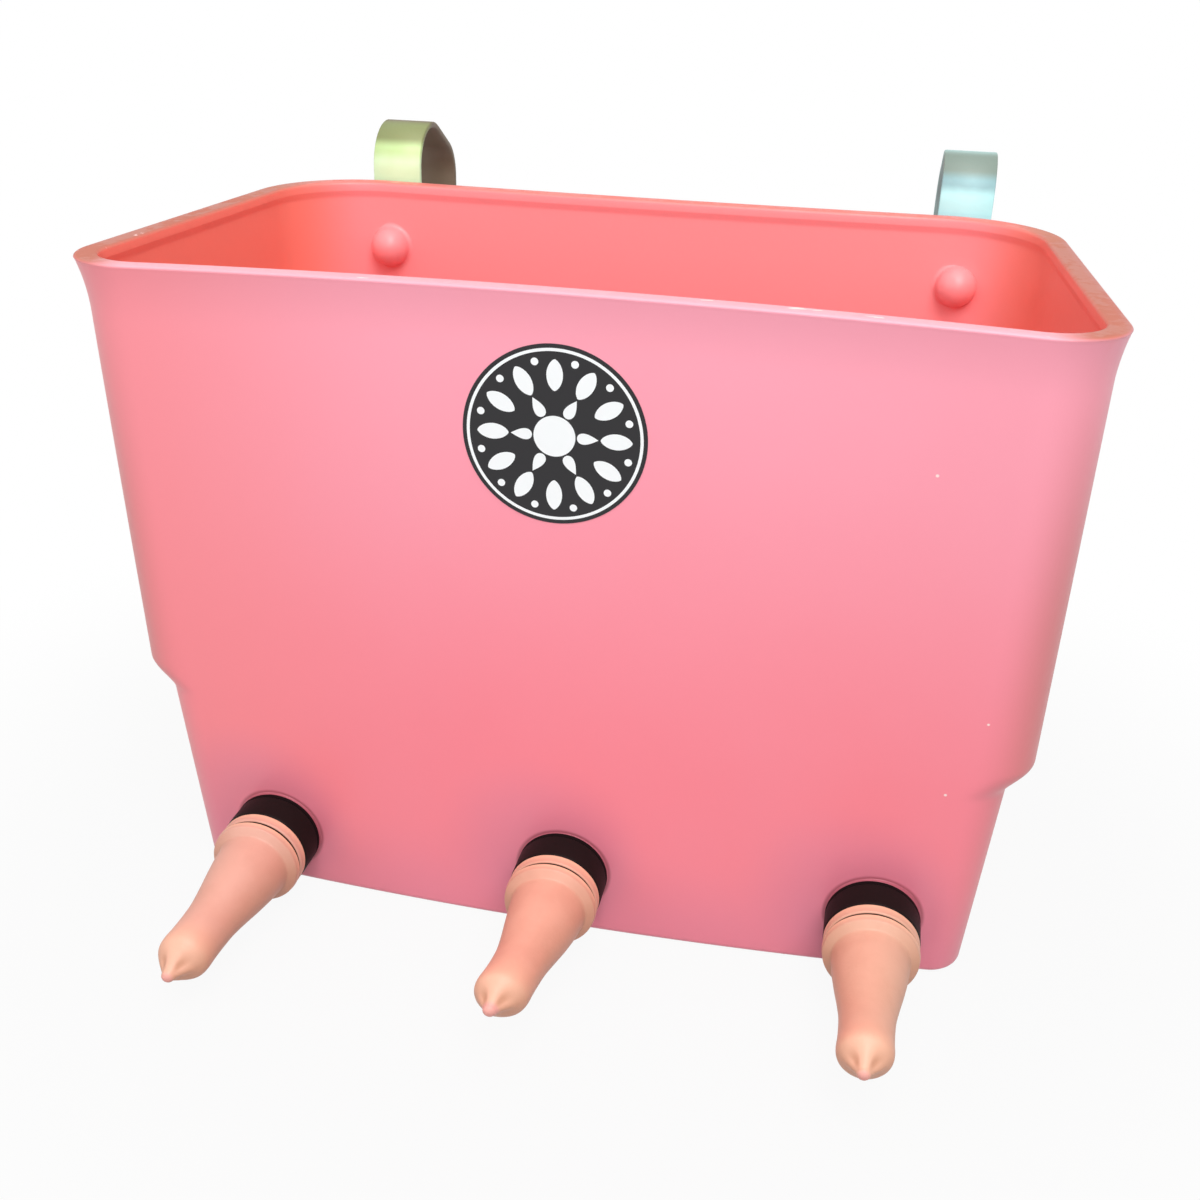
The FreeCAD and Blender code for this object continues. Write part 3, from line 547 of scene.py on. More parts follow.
@dataclass(frozen=True)
class TeatRubber:
    """Peach rubber with painted light: paler over the nose and along its edges, painted shade in
    its groove, down its flanks and in the nose's folds.
    """

    name: str
    colour: Colour
    deep: Colour
    # Painted highlight over the nose.
    nose: Colour = linear(236, 180, 152)
    pink: Colour = linear(232, 156, 156)
    # Painted highlight along the edges.
    pale: Colour = linear(250, 200, 164)
    # Painted shade on the flanks and in the folds.
    brown: Colour = linear(196, 136, 106)
    # Painted shade in the groove.
    groove_shade: Colour = linear(30, 12, 8)
    nose_start: float = -160.0
    nose_full: float = -175.0
    tip_start: float = -183.6
    tip_full: float = -185.6

    def material(self) -> bpy.types.Material:
        """Build the tree."""
        shade = Shade(self.name)
        _, y, _ = shade.place()
        cloud = shade.noise(13.0, 4.0)
        fine = shade.noise(1.2, 3.0)
        colour = shade.blend(cloud.ramp(0.38, 0.72) * 0.3, self.colour, self.deep)
        # Painted highlight: paler over the nose.
        colour = shade.blend(y.ramp(self.nose_start, self.nose_full) * 0.75, colour, self.nose)
        # Painted shade down the flanks and in the valleys of the nose's folds.
        colour = shade.blend(shade.attribute("brown") * 0.7, colour, self.brown)
        colour = shade.blend(y.ramp(self.tip_start, self.tip_full) * 0.6, colour, self.pink)
        # Painted highlight along the edges of the flange and the cuff.
        colour = shade.blend(shade.attribute("pale") * 0.8, colour, self.pale)
        # Painted shade in the groove between flange and cuff.
        colour = shade.blend(shade.attribute("groove_shade"), colour, self.groove_shade)
        shade.bump(fine, 0.06)
        return shade.finish(Base_Color=colour, Roughness=0.44 + fine * 0.1)


@dataclass(frozen=True)
class PlainFinish:
    """A finish of one colour with fine grain and uneven gloss."""

    name: str
    colour: Colour
    roughness: float
    metallic: float = 0.0
    grain: float = 0.8
    depth: float = 0.03
    spread: float = 0.12
    specular: float = 0.5

    def material(self) -> bpy.types.Material:
        """Build the tree."""
        shade = Shade(self.name)
        fine = shade.noise(self.grain, 4.0)
        cloud = shade.noise(self.grain * 12, 3.0)
        darker = tuple(share * (1 - self.spread) for share in self.colour)
        colour = shade.blend(cloud, self.colour, darker)
        shade.bump(fine, self.depth)
        return shade.finish(Base_Color=colour, Roughness=self.roughness + (fine - 0.5) * 0.2,
                            Metallic=self.metallic, Specular_IOR_Level=self.specular)


@dataclass(frozen=True)
class PlatedStrap:
    """Zinc plate with a tinted film and painted reflection: dull over the crown, bright on the
    upright leg.
    """

    name: str
    # Crown, middle and upright carry painted reflection: duller over the crown, brighter down the
    # upright leg.
    crown: Colour
    middle: Colour
    upright: Colour
    underside: Colour
    back: Colour
    rim_height: float = 297.0
    face: float = 114.3

    def material(self) -> bpy.types.Material:
        """Build the tree."""
        shade = Shade(self.name)
        _, y, z = shade.place()
        up = z - self.rim_height
        grain = shade.noise(1.4, 4.0, (1.0, 1.0, 5.0))
        cloud = shade.noise(9.0, 3.0)
        # Painted reflection: the upright leg brighter and the crown duller; the tint of each colour
        # is the plate's.
        colour = shade.blend(up.ramp(8.0, 14.0) + (cloud - 0.5) * 0.4, self.upright, self.middle)
        colour = shade.blend(up.ramp(15.0, 20.0), colour, self.crown)
        colour = shade.blend(up.ramp(2.0, -12.0), colour, self.back)
        behind = (y - self.face).ramp(14.0, 24.0)
        colour = shade.blend(behind, colour, self.underside)
        shade.bump(grain, 0.02)
        return shade.finish(Base_Color=colour, Roughness=0.5 + (grain - 0.5) * 0.25, Metallic=0.1)


# Tub

@dataclass
class Level:
    """One rounded trapezium of the tub: a bow above 0 draws a long edge in, below 0 lets it out."""

    half: float
    narrow: float
    front: float
    back: float
    front_bow: float
    back_bow: float
    front_radius: float
    back_radius: float

    def edge(self, front: bool) -> tuple[float, float]:
        """Centre height and radius of a long edge's circle."""
        half = self.half if front else self.half - self.narrow
        level = self.front if front else self.back
        bow = self.front_bow if front else self.back_bow
        outward = -1.0 if front else 1.0
        depth = max(abs(bow), 0.02)
        radius = (half * half + depth * depth) / (2 * depth)
        if bow >= 0:
            return level - outward * depth + outward * radius, radius
        return level + outward * depth - outward * radius, radius

    def corner(self, front: bool) -> tuple[np.ndarray, np.ndarray, np.ndarray]:
        """Right-hand corner: its centre, its touch on the side and its touch on the long edge."""
        near = np.array((self.half, self.front))
        far = np.array((self.half - self.narrow, self.back))
        along = (far - near) / np.linalg.norm(far - near)
        inward = np.array((-along[1], along[0]))
        start, step = (near, along) if front else (far, -along)
        bend = self.front_radius if front else self.back_radius
        outward = -1.0 if front else 1.0
        level = self.front if front else self.back
        centre_y, radius = self.edge(front)
        hollow = (centre_y - level) * outward > 0
        reach = radius + bend if hollow else radius - bend
        base = start + inward * bend
        gap = base - np.array((0.0, centre_y))
        half_b = float(gap @ step)
        spread = math.sqrt(half_b ** 2 - float(gap @ gap) + reach ** 2)
        travel = min((-half_b - spread, -half_b + spread), key=abs)
        centre = base + step * travel
        away = centre - np.array((0.0, centre_y))
        away /= np.linalg.norm(away)
        return centre, centre - inward * bend, np.array((0.0, centre_y)) + away * radius

    def loop(self, side_steps: int, corner_steps: int, long_steps: int) -> np.ndarray:
        """Points round the level, from the right side's front end towards the back.

        Args:
            side_steps: spans on each side.
            corner_steps: spans in each corner.
            long_steps: spans on each long edge.

        Returns:
            The closed loop's points.
        """
        front_centre, side_front, long_front = self.corner(True)
        back_centre, side_back, long_back = self.corner(False)
        side = [side_front + (side_back - side_front) * s / side_steps for s in range(side_steps)]
        back_corner = sweep(back_centre, side_back, long_back, corner_steps)
        back = self.long_points(long_back, *self.edge(False), long_steps)
        front_corner = sweep(front_centre, side_front, long_front, corner_steps)
        front = self.long_points(mirrored(long_front), *self.edge(True), long_steps)
        left = [mirrored(point) for point in back_corner[1:] + [long_back]][::-1]
        left += [mirrored(point) for point in side[1:] + [side_back]][::-1]
        left += [mirrored(point) for point in front_corner]
        right = [long_front] + front_corner[1:][::-1]
        return np.array(side + back_corner + back + left + front + right)

    @staticmethod
    def long_points(touch: np.ndarray, centre_y: float, radius: float,
                    steps: int) -> list[np.ndarray]:
        """Points along a long edge from one touch towards the other, without the last."""
        sign = 1.0 if touch[1] > centre_y else -1.0
        made = []
        for step in range(steps):
            x = touch[0] * (1 - 2 * step / steps)
            made.append(np.array((x, centre_y + sign * math.sqrt(radius * radius - x * x))))
        return made


def mirrored(point: np.ndarray) -> np.ndarray:
    """The same place on the other side of the tub."""
    return np.array((-point[0], point[1]))


def sweep(centre: np.ndarray, start: np.ndarray, end: np.ndarray, steps: int) -> list[np.ndarray]:
    """Arc points from start towards end about centre, without the last."""
    first = math.atan2(*(start - centre)[::-1])
    last = math.atan2(*(end - centre)[::-1])
    turn = (last - first + math.pi) % (2 * math.pi) - math.pi
    radius = float(np.linalg.norm(start - centre))
    made = []
    for step in range(steps):
        angle = first + turn * step / steps
        made.append(centre + radius * np.array((math.cos(angle), math.sin(angle))))
    return made


@dataclass
class TubShape:
    """The tub's outline at every height, as the moulding was designed."""

    width: float = 400.8
    depth: float = 227.0
    height: float = 297.0
    wall: float = 5.5
    floor: float = 6.0
    step: float = 9.5
    lower_draft: float = 6.0
    shoulder_height: float = 106.0
    shoulder_rise: float = 16.0
    front_recess: float = 32.8
    back_recess: float = 10.0
    narrowing: float = 12.4
    flare: float = 2.4
    flare_height: float = 22.0
    front_bow: float = 15.0
    base_bow: float = 9.0
    back_bow: float = 5.6
    front_corner: float = 27.0
    base_corner: float = 16.0
    back_corner: float = 49.0
    land: float = 9.0
    lip: float = 4.5
    lip_bevel: float = 2.0
    base_radius: float = 3.5
    floor_radius: float = 6.0

    def half_width(self, height: float) -> float:
        """Half width between the front corners at a height, without the flare."""
        upper = self.width / 2 - self.flare
        waist = upper - self.step
        low = self.shoulder_height - self.shoulder_rise / 2
        if height <= low:
            return waist - self.lower_draft * (1 - height / low)
        share = min((height - low) / self.shoulder_rise, 1.0)
        return waist + self.step * share * share * (3 - 2 * share)

    def bows(self, height: float) -> tuple[float, float]:
        """Bow of the front and back edges at a height."""
        share = height / self.height
        return self.front_bow * share - self.base_bow * (1 - share), self.back_bow * share ** 2

    def corner_at(self, height: float) -> float:
        """Front corner radius at a height."""
        return self.base_corner + (self.front_corner - self.base_corner) * height / self.height

    def flare_at(self, height: float) -> float:
        """Outward turn of the outside near the rim."""
        below = (self.height - height) / self.flare_height
        return self.flare * (1 - below) ** 2 if below < 1 else 0.0

    def level(self, height: float, inset: float, flare: float = 0.0) -> Level:
        """Outline at a height, moved in by inset and out by flare."""
        lean = self.front_recess * (1 - height / self.height)
        draft = self.back_recess * (1 - height / self.height)
        front_bow, back_bow = self.bows(height)
        return Level(self.half_width(height) + flare - inset, self.narrowing,
                     self.flare - self.depth / 2 + lean - flare + inset,
                     self.depth / 2 - self.flare - draft + flare - inset,
                     front_bow, back_bow, max(self.corner_at(height) - inset, 2.0),
                     max(self.back_corner - inset, 2.0))

    def wall_at(self, x: float, height: float, front: bool = True) -> float:
        """How far back the outside of the front or the back wall is at a place."""
        level = self.level(height, 0.0, self.flare_at(height))
        centre_y, radius = level.edge(front)
        side = 1.0 if centre_y < (level.front if front else level.back) else -1.0
        return centre_y + side * math.sqrt(radius * radius - x * x)


@dataclass
class Tub:
    """The moulded tub: walls, rim, floor, seats for the fittings, pads and domes for the hooks."""

    shape: TubShape
    teat_x: dict[str, float]
    teat_z: dict[str, float]
    hook_x: dict[str, float]
    boss_radius: float = 20.4
    boss_depth: float = 13.0
    boss_proud: float = 0.8
    seat_reach: float = 22.0
    seat_edge: float = 0.4
    seat_fillet: float = 0.5
    seat_turns: int = 96
    bolt_drop: float = 31.5
    dome_radius: float = 9.6
    dome_foot: float = 11.8
    pad_size: tuple[float, float] = (34.0, 44.0)
    pad_corner: float = 5.0
    pad_root: float = 1.0
    standoff: float = 0.8
    rim_round: float = 1.4
    skin: tuple[float, float] = (2.6, 0.8)
    side_steps: int = 40
    corner_steps: int = 18
    long_steps: int = 110
    finish: PinkPlastic = field(default_factory=PinkPlastic)

    def rings(self) -> list[tuple[float, float, float]]:
        """(height, inset, flare) of each ring, up the outside, over the rim and down the inside."""
        shape = self.shape
        made: list[tuple[float, float, float]] = []
        for angle in quarter(8):
            made.append((shape.base_radius * (1 - math.cos(angle)),
                         shape.base_radius * (1 - math.sin(angle)), 0.0))
        for height in wall_heights(shape, shape.base_radius, shape.height - self.rim_round)[1:]:
            made.append((height, 0.0, shape.flare_at(height)))
        bend = self.rim_round
        for angle in quarter(4)[1:]:
            made.append((shape.height - bend * (1 - math.sin(angle)), bend * (1 - math.cos(angle)),
                         shape.flare))
        for share in (0.33, 0.67):
            made.append((shape.height, bend + (shape.land - 2 * bend) * share, shape.flare))
        inner = shape.land - shape.flare
        for angle in quarter(4):
            made.append((shape.height - bend * (1 - math.cos(angle)),
                         inner - bend * (1 - math.sin(angle)), 0.0))
        under = shape.height - shape.lip
        made += [(under + 0.5, inner, 0.0), (under, inner, 0.0),
                 (under - shape.lip_bevel, shape.wall, 0.0)]
        low = shape.floor + shape.floor_radius
        for height in reversed(wall_heights(shape, low, under - shape.lip_bevel)[:-1]):
            made.append((height, shape.wall, 0.0))
        for angle in quarter(8)[1:]:
            made.append((low - shape.floor_radius * math.sin(angle),
                         shape.wall + shape.floor_radius * (1 - math.cos(angle)), 0.0))
        return made

    def marks(self, points: np.ndarray) -> dict[str, np.ndarray]:
        """How far each point is inside the tub and on the rim's land, 0 to 1.

        Args:
            points: the tub's points in millimetres.

        Returns:
            One number a point under "inside" and "land".
        """
        shape = self.shape
        within = []
        for x, y, z in points:
            deep = self.depth_in(x, y, min(z, shape.height)) - self.skin[0]
            floor = z < shape.floor + 0.5
            within.append(float(z >= shape.floor - 0.5) if floor else deep / self.skin[1])
        land = (points[:, 2] - shape.height + self.rim_round) / self.rim_round
        return {"inside": np.clip(within, 0.0, 1.0), "land": np.clip(land, 0.0, 1.0)}

    def depth_in(self, x: float, y: float, z: float) -> float:
        """How far a place is from the nearest outside wall, measured level and roughly."""
        shape = self.shape
        half = shape.half_width(z) - shape.narrowing * (y + shape.depth / 2) / shape.depth
        half += shape.flare_at(z)
        reach_x = float(np.clip(x, -half + 1.0, half - 1.0))
        gaps = (half - abs(x), y - shape.wall_at(reach_x, z), shape.wall_at(reach_x, z, False) - y)
        for bend, gap in ((shape.corner_at(z), gaps[1]), (shape.back_corner, gaps[2])):
            if gaps[0] < bend and gap < bend:
                return bend - math.hypot(bend - gaps[0], bend - gap)
        return min(gaps)

    def shell(self) -> Mesh:
        """The closed shell, its base and floor filled with shrinking rings."""
        loops = []
        for height, inset, flare in self.rings():
            level = self.shape.level(height, inset, flare)
            flat = level.loop(self.side_steps, self.corner_steps, self.long_steps)
            loops.append(np.column_stack((flat, np.full(len(flat), height))))
        return stack(filled(loops[0])[::-1] + loops + filled(loops[-1]))

    def seat_y(self, name: str) -> float:
        """Outer seat plane of one fitting."""
        top = self.teat_z[name] + self.seat_reach
        x0 = self.teat_x[name]
        inner = 0.0 if name == "middle" else x0 - math.copysign(self.seat_reach, x0)
        fade = 1 - top / self.shape.shoulder_height
        half = self.shape.half_width(0.0)
        line = self.shape.flare - self.shape.depth / 2
        line += self.shape.front_recess * (1 - top / self.shape.height)
        return line - self.shape.base_bow * fade * (1 - (inner / half) ** 2) - self.boss_proud

    def seat(self, name: str, side: Side) -> Mesh:
        """One round seat on the front wall, faired into it, outside or inside the tub."""
        outside = side is Side.OUTSIDE
        face = self.seat_y(name) + (0.0 if outside else self.boss_depth)
        rings = []
        for row in range(SEAT_ROWS):
            ring = []
            for angle in turns(self.seat_turns):
                radius, y = self.seat_point(row, name, face, outside, angle)
                ring.append((self.teat_x[name] + radius * math.cos(angle), y,
                             self.teat_z[name] + radius * math.sin(angle)))
            rings.append(ring)
        return stack(rings, outside)

    def seat_point(self, row: int, name: str, face: float, outside: bool,
                   angle: float) -> tuple[float, float]:
        """Radius and depth of one point of a seat: flat face, rounded edge, fillet to the wall."""
        edge = self.seat_edge
        if row < len(SEAT_FLAT):
            return min(SEAT_FLAT[row], self.boss_radius - edge), face
        sign = -1.0 if outside else 1.0
        offset = 0.0 if outside else self.shape.wall
        stand = (face - self.wall_y(name, self.boss_radius, angle) - offset) * sign
        drop = min(edge, max(stand, 0.0) * 0.5 + 0.15)
        row -= len(SEAT_FLAT) - 1
        if row <= SEAT_BEND:
            turn = math.pi / 2 * row / SEAT_BEND
            return (self.boss_radius - edge * (1 - math.sin(turn)),
                    face - sign * drop * (1 - math.cos(turn)))
        turn = math.pi / 2 * (row - SEAT_BEND - 1) / SEAT_BEND
        bend = min(self.seat_fillet, max(stand - drop, 0.1))
        radius = self.boss_radius + bend * (1 - math.cos(turn))
        rise = bend * (1 - math.sin(turn)) - SUNK
        return radius, self.wall_y(name, radius, angle) + offset + sign * rise

    def wall_y(self, name: str, radius: float, angle: float) -> float:
        """The front wall's outside beside a fitting, at a distance and angle from its axis."""
        height = self.teat_z[name] + radius * math.sin(angle)
        y = self.shape.wall_at(self.teat_x[name] + radius * math.cos(angle), max(height, 0.0))
        low = max(self.shape.base_radius - height, 0.0)
        bend = self.shape.base_radius
        return y + bend - math.sqrt(bend * bend - low * low)

    def dome(self, side: str) -> Mesh:
        """Domed boss inside the back wall, over a hook's insert, with a hollow foot."""
        x0 = self.hook_x[side]
        z0 = self.shape.height - self.bolt_drop
        foot = self.dome_foot - self.dome_radius
        wall = self.shape.wall_at(x0, z0, False) - self.shape.wall
        rings = []
        for tilt in quarter(10)[:-1]:
            radius = self.dome_radius * math.sin(tilt)
            y = wall - foot - self.dome_radius * math.cos(tilt)
            count = 1 if radius < POINT else self.seat_turns
            rings.append([(x0 + across, y, z0 + up) for across, up in circle(radius, count)])
        for tilt in quarter(6):
            off = self.shape.wall + foot * (1 - math.sin(tilt)) - SUNK
            flat = circle(self.dome_foot - foot * math.cos(tilt), self.seat_turns) + (x0, z0)
            rings.append([(x, self.shape.wall_at(x, z, False) - off, z) for x, z in flat])
        return stack(rings, True)

    def pad(self, side: str) -> Mesh:
        """Flat pad behind the tub that a hook's strap lies on, its edges rounded over."""
        x0 = self.hook_x[side]
        z0 = self.shape.height - self.bolt_drop
        face = self.shape.depth / 2 + self.standoff
        half_x, half_z = (share / 2 for share in self.pad_size)
        outline: list[Place] = []
        for corner_x, corner_z, start in ((1, 1, 0), (-1, 1, 90), (-1, -1, 180), (1, -1, 270)):
            for step in range(9):
                angle = math.radians(start + 90 * step / 8)
                outline.append((corner_x * (half_x - self.pad_corner), math.cos(angle),
                                corner_z * (half_z - self.pad_corner), math.sin(angle)))
        edge = self.seat_edge
        spread = [(-edge, 0.0)] + [(-edge * (1 - math.sin(turn)), edge * (1 - math.cos(turn)))
                                   for turn in quarter(3)[1:]] + [(0.0, None)]
        rings = [[(x0, face, z0)]]
        for reach, drop in spread:
            ring = []
            for middle_x, cosine, middle_z, sine in outline:
                x = x0 + middle_x + (self.pad_corner + reach) * cosine
                z = z0 + middle_z + (self.pad_corner + reach) * sine
                root = self.shape.wall_at(x, z, False) - self.pad_root
                ring.append((x, root if drop is None else face - drop, z))
            rings.append(ring)
        return stack(rings)

    def build(self) -> list[bpy.types.Object]:
        """Make the tub as one piece."""
        parts = [self.shell()]
        parts += [self.seat(name, side) for name in TEATS for side in Side]
        parts += [self.dome(side) for side in SIDES] + [self.pad(side) for side in SIDES]
        points, faces = join(parts)
        tub = make_piece("tub_moulding", points, faces, self.finish.material())
        mark(tub, **self.marks(points))
        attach(tub, BODY)
        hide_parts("tub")
        return [tub]


def filled(loop: np.ndarray) -> list[np.ndarray]:
    """Rings that shrink from a loop to its middle, the last one a single point."""
    middle = loop.mean(axis=0)
    return [middle + (loop - middle) * share for share in FILL] + [middle[None, :]]


def wall_heights(shape: TubShape, low: float, high: float) -> list[float]:
    """Heights of the wall's rings, closer together at the shoulders and the flared band."""
    places = [low]
    while places[-1] < high - 0.5:
        height = places[-1]
        shoulder = abs(height - shape.shoulder_height) < shape.shoulder_rise * 0.8
        band = height > shape.height - shape.flare_height * 1.2
        places.append(height + (1.2 if shoulder else 2.0 if band else 5.0))
    places[-1] = high
    return places


# Label

@dataclass(frozen=True)
class Vinyl:
    """Printed vinyl: one ink colour with a soft sheen."""

    name: str
    colour: Colour
    roughness: float = 0.34

    def material(self) -> bpy.types.Material:
        """Build the tree."""
        shade = Shade(self.name)
        cloud, fine = shade.noise(9.0), shade.noise(0.6, 2.0)
        colour = shade.blend(cloud * 0.12, self.colour, tuple(c * 0.82 for c in self.colour))
        shade.bump(fine, 0.012)
        return shade.finish(Base_Color=colour, Roughness=self.roughness + cloud * 0.12)


@dataclass
class Label:
    """Round sticker on the front wall: a wreath of leaves and drops round a plain middle."""

    shape: TubShape
    x: float = -3.0
    z: float = 241.0
    radius: float = 36.2
    thickness: float = 0.22
    print_height: float = 0.05
    ring: tuple[float, float] = (33.4, 34.6)
    leaves: int = 12
    leaf: tuple[float, float] = (12.4, 6.4)
    leaf_circle: float = 24.2
    dots: int = 12
    dot: float = 1.5
    dot_circle: float = 29.9
    middle: float = 8.2
    drops: int = 6
    drop: float = 4.2
    drop_circle: float = 13.0
    lap: float = 0.02
    black: Vinyl = Vinyl("label_black", linear(22, 20, 24))
    white: Vinyl = Vinyl("label_white", linear(246, 249, 250))

    def laid(self, flat: np.ndarray, height: float) -> np.ndarray:
        """Lay flat points (across, up) on the wall at a height above it.

        Args:
            flat: points about the label's middle.
            height: millimetres in front of the wall.

        Returns:
            Points in the model's frame.
        """
        x = self.x + flat[:, 0]
        z = self.z + flat[:, 1]
        y = [self.shape.wall_at(a, b) - height for a, b in zip(x, z)]
        return np.column_stack((x, y, z))

    def disc(self, radius: float, height: float, rows: int = 9, count: int = 128,
             hole: float = 0.0) -> Mesh:
        """A round or ring-shaped layer, its rim turned down to the wall."""
        rings = []
        for row in range(rows + 1):
            reach = hole + (radius - hole) * row / rows
            rings.append(self.laid(circle(reach, 1 if reach < POINT else count), height))
        rings.append(self.laid(circle(radius + self.lap, count), -SUNK))
        return stack(rings, True)

    def motif(self, name: str, outline: np.ndarray, count: int, reach: float,
              turn: float = 0.0) -> Mesh:
        """Repeat a flat motif round the label with Geometry Nodes and lay it on the wall.

        Args:
            name: a word for the scratch object.
            outline: the motif's outline, its length up the page.
            count: how many there are.
            reach: radius of the circle that their middles lie on.
            turn: turn of the first one in degrees.

        Returns:
            The laid layer.
        """
        white = bpy.data.materials[self.white.name]
        middle = outline.mean(axis=0)
        flat, faces = stack([outline, middle + (outline - middle) * 0.5, middle[None, :]])
        seed = make_piece(name + "_seed", np.column_stack((flat, np.zeros(len(flat)))), faces,
                          white)
        carrier = make_piece(name + "_round", np.zeros((1, 3)), [], white)
        modifier = carrier.modifiers.new("Round", "NODES")
        modifier.node_group = RoundTree(white).tree
        for key, value in {"Motif": seed, "Count": count, "Circle": reach * MM,
                           "Turn": math.radians(turn)}.items():
            modifier[RoundTree.identifier(modifier, key)] = value
        apply_modifiers(carrier)
        flat = np.array([vertex.co[:2] for vertex in carrier.data.vertices]) / MM
        faces = [tuple(polygon.vertices) for polygon in carrier.data.polygons]
        for scratch in (seed, carrier):
            bpy.data.objects.remove(scratch)
        return self.laid(flat, self.thickness + self.print_height), self.facing(flat, faces)

    @staticmethod
    def facing(flat: np.ndarray, faces: Faces) -> Faces:
        """Turn flat faces so that they look forwards once they stand on the wall."""
        made: Faces = []
        for face in faces:
            x, y = flat[list(face)].T
            area = float(np.dot(x, np.roll(y, -1)) - np.dot(y, np.roll(x, -1)))
            made.append(face if area > 0 else face[::-1])
        return made

    def leaf_outline(self) -> np.ndarray:
        """Pointed leaf, its length up the page."""
        length, width = self.leaf
        return np.array([(width / 2 * math.sin(a) * abs(math.sin(a)) ** 0.35,
                          length / 2 * math.cos(a)) for a in turns(28)])

    def drop_outline(self) -> np.ndarray:
        """Falling drop, its point up."""
        return np.array([(self.drop * 0.72 * math.sin(a) * math.sin(a / 2) ** 1.2,
                          self.drop * math.cos(a)) for a in turns(36)])

    def build(self) -> list[bpy.types.Object]:
        """Make the sticker and its print."""
        black, white = self.black.material(), self.white.material()
        base = make_piece("label_base", *self.disc(self.radius, self.thickness), black, False)
        top = self.thickness + self.print_height
        layers = [self.disc(self.ring[1], top, 1, 128, self.ring[0]),
                  self.disc(self.middle, top, 3, 64),
                  self.motif("leaf", self.leaf_outline(), self.leaves, self.leaf_circle),
                  self.motif("dot", circle(self.dot, 16), self.dots, self.dot_circle,
                             180.0 / self.dots),
                  self.motif("drop", self.drop_outline(), self.drops, self.drop_circle,
                             180.0 / self.drops)]
        prints = make_piece("label_print", *join(layers), white, False)
        for piece in (base, prints):
            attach(piece, BODY)
        return [base, prints]


class RoundTree(Tree):
    """Geometry Nodes tree that sets copies of a motif round a circle, each turned outwards."""

    INPUTS = (("Geometry", "Geometry"), ("Motif", "Object"), ("Count", "Int"),
              ("Circle", "Float"), ("Turn", "Float"))

    def __init__(self, material: bpy.types.Material) -> None:
        """Build the tree with its named inputs; the copies get the material."""
        super().__init__(bpy.data.node_groups.new("round_of_motifs", "GeometryNodeTree"))
        face = self.tree.interface
        for name, kind in self.INPUTS:
            face.new_socket(name, in_out="INPUT", socket_type="NodeSocket" + kind)
        face.new_socket("Geometry", in_out="OUTPUT", socket_type="NodeSocketGeometry")
        given = self.node("NodeGroupInput").outputs
        count, circle_radius, turn = (Value(self, given[name])
                                      for name in ("Count", "Circle", "Turn"))
        index = Value(self, self.node("GeometryNodeInputIndex").outputs[0])
        angle = index / count * (2 * math.pi) + turn
        place = self.node("ShaderNodeCombineXYZ", None,
                          X=self.math("SINE", angle) * circle_radius,
                          Y=self.math("COSINE", angle) * circle_radius)
        points = self.node("GeometryNodePoints", None, Count=count, Position=place.outputs[0])
        turned = self.node("ShaderNodeCombineXYZ", None, Z=angle * -1.0)
        motif = self.node("GeometryNodeObjectInfo", None, Object=given["Motif"])
        copies = self.node("GeometryNodeInstanceOnPoints", None, Points=points.outputs[0],
                           Instance=motif.outputs["Geometry"], Rotation=turned.outputs[0])
        real = self.node("GeometryNodeRealizeInstances", None, Geometry=copies.outputs[0])
        paint = self.node("GeometryNodeSetMaterial", None, Geometry=real.outputs[0],
                          Material=material)
        self.node("NodeGroupOutput", None, Geometry=paint.outputs[0])

    @staticmethod
    def identifier(modifier: bpy.types.Modifier, name: str) -> str:
        """Identifier of a modifier's input by its name."""
        for item in modifier.node_group.interface.items_tree:
            if item.name == name and item.in_out == "INPUT":
                return item.identifier
        raise KeyError(name)


# Teats and their fittings

@dataclass
class Fitting:
    """One black fitting: collar and socket outside, spigot inside, drawn without its thread."""

    name: str
    x: float
    seat_y: float
    z: float
    washer: float = 2.0
    collar_radius: float = 20.5
    collar_length: float = 13.6
    socket_radius: float = 14.0
    socket_depth: float = 11.0
    spigot_radius: float = 13.0
    spigot_end: float = 27.0
    seat_radius: float = 8.0
    seat_depth: float = 4.0
    bevel: float = 1.0
    bore: float = 9.5
    turns: int = 96

    def profile(self) -> Profile:
        """Closed outline (ahead of the seat, radius), from the spigot's inner end round."""
        face = self.washer + self.collar_length
        floor = face - self.socket_depth
        back = -self.spigot_end
        cage = back + self.seat_depth
        corners = [(back, self.seat_radius, 0.3), (back, self.spigot_radius - self.bevel, 0.8),
                   (back + self.bevel, self.spigot_radius, 0.5),
                   (self.washer, self.spigot_radius, 0.0), (self.washer, self.collar_radius, 0.5),
                   (face, self.collar_radius, 1.6), (face, self.socket_radius, 0.6),
                   (floor, self.socket_radius, 0.3), (floor, self.bore, 0.3),
                   (cage, self.bore, 0.3), (cage, self.seat_radius, 0.3)]
        return rounded(corners + [corners[0]], 5)[:-1]

    def build(self) -> list[bpy.types.Object]:
        """Make the fitting's collar piece."""
        centre = (self.x, self.seat_y, self.z)
        collar = make_piece("fitting_" + self.name, *lathe(self.profile(), centre, self.turns),
                            bpy.data.materials["black_plastic"])
        recalculate(collar)
        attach(collar, BODY)
        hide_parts("collar_" + self.name)
        return [collar]


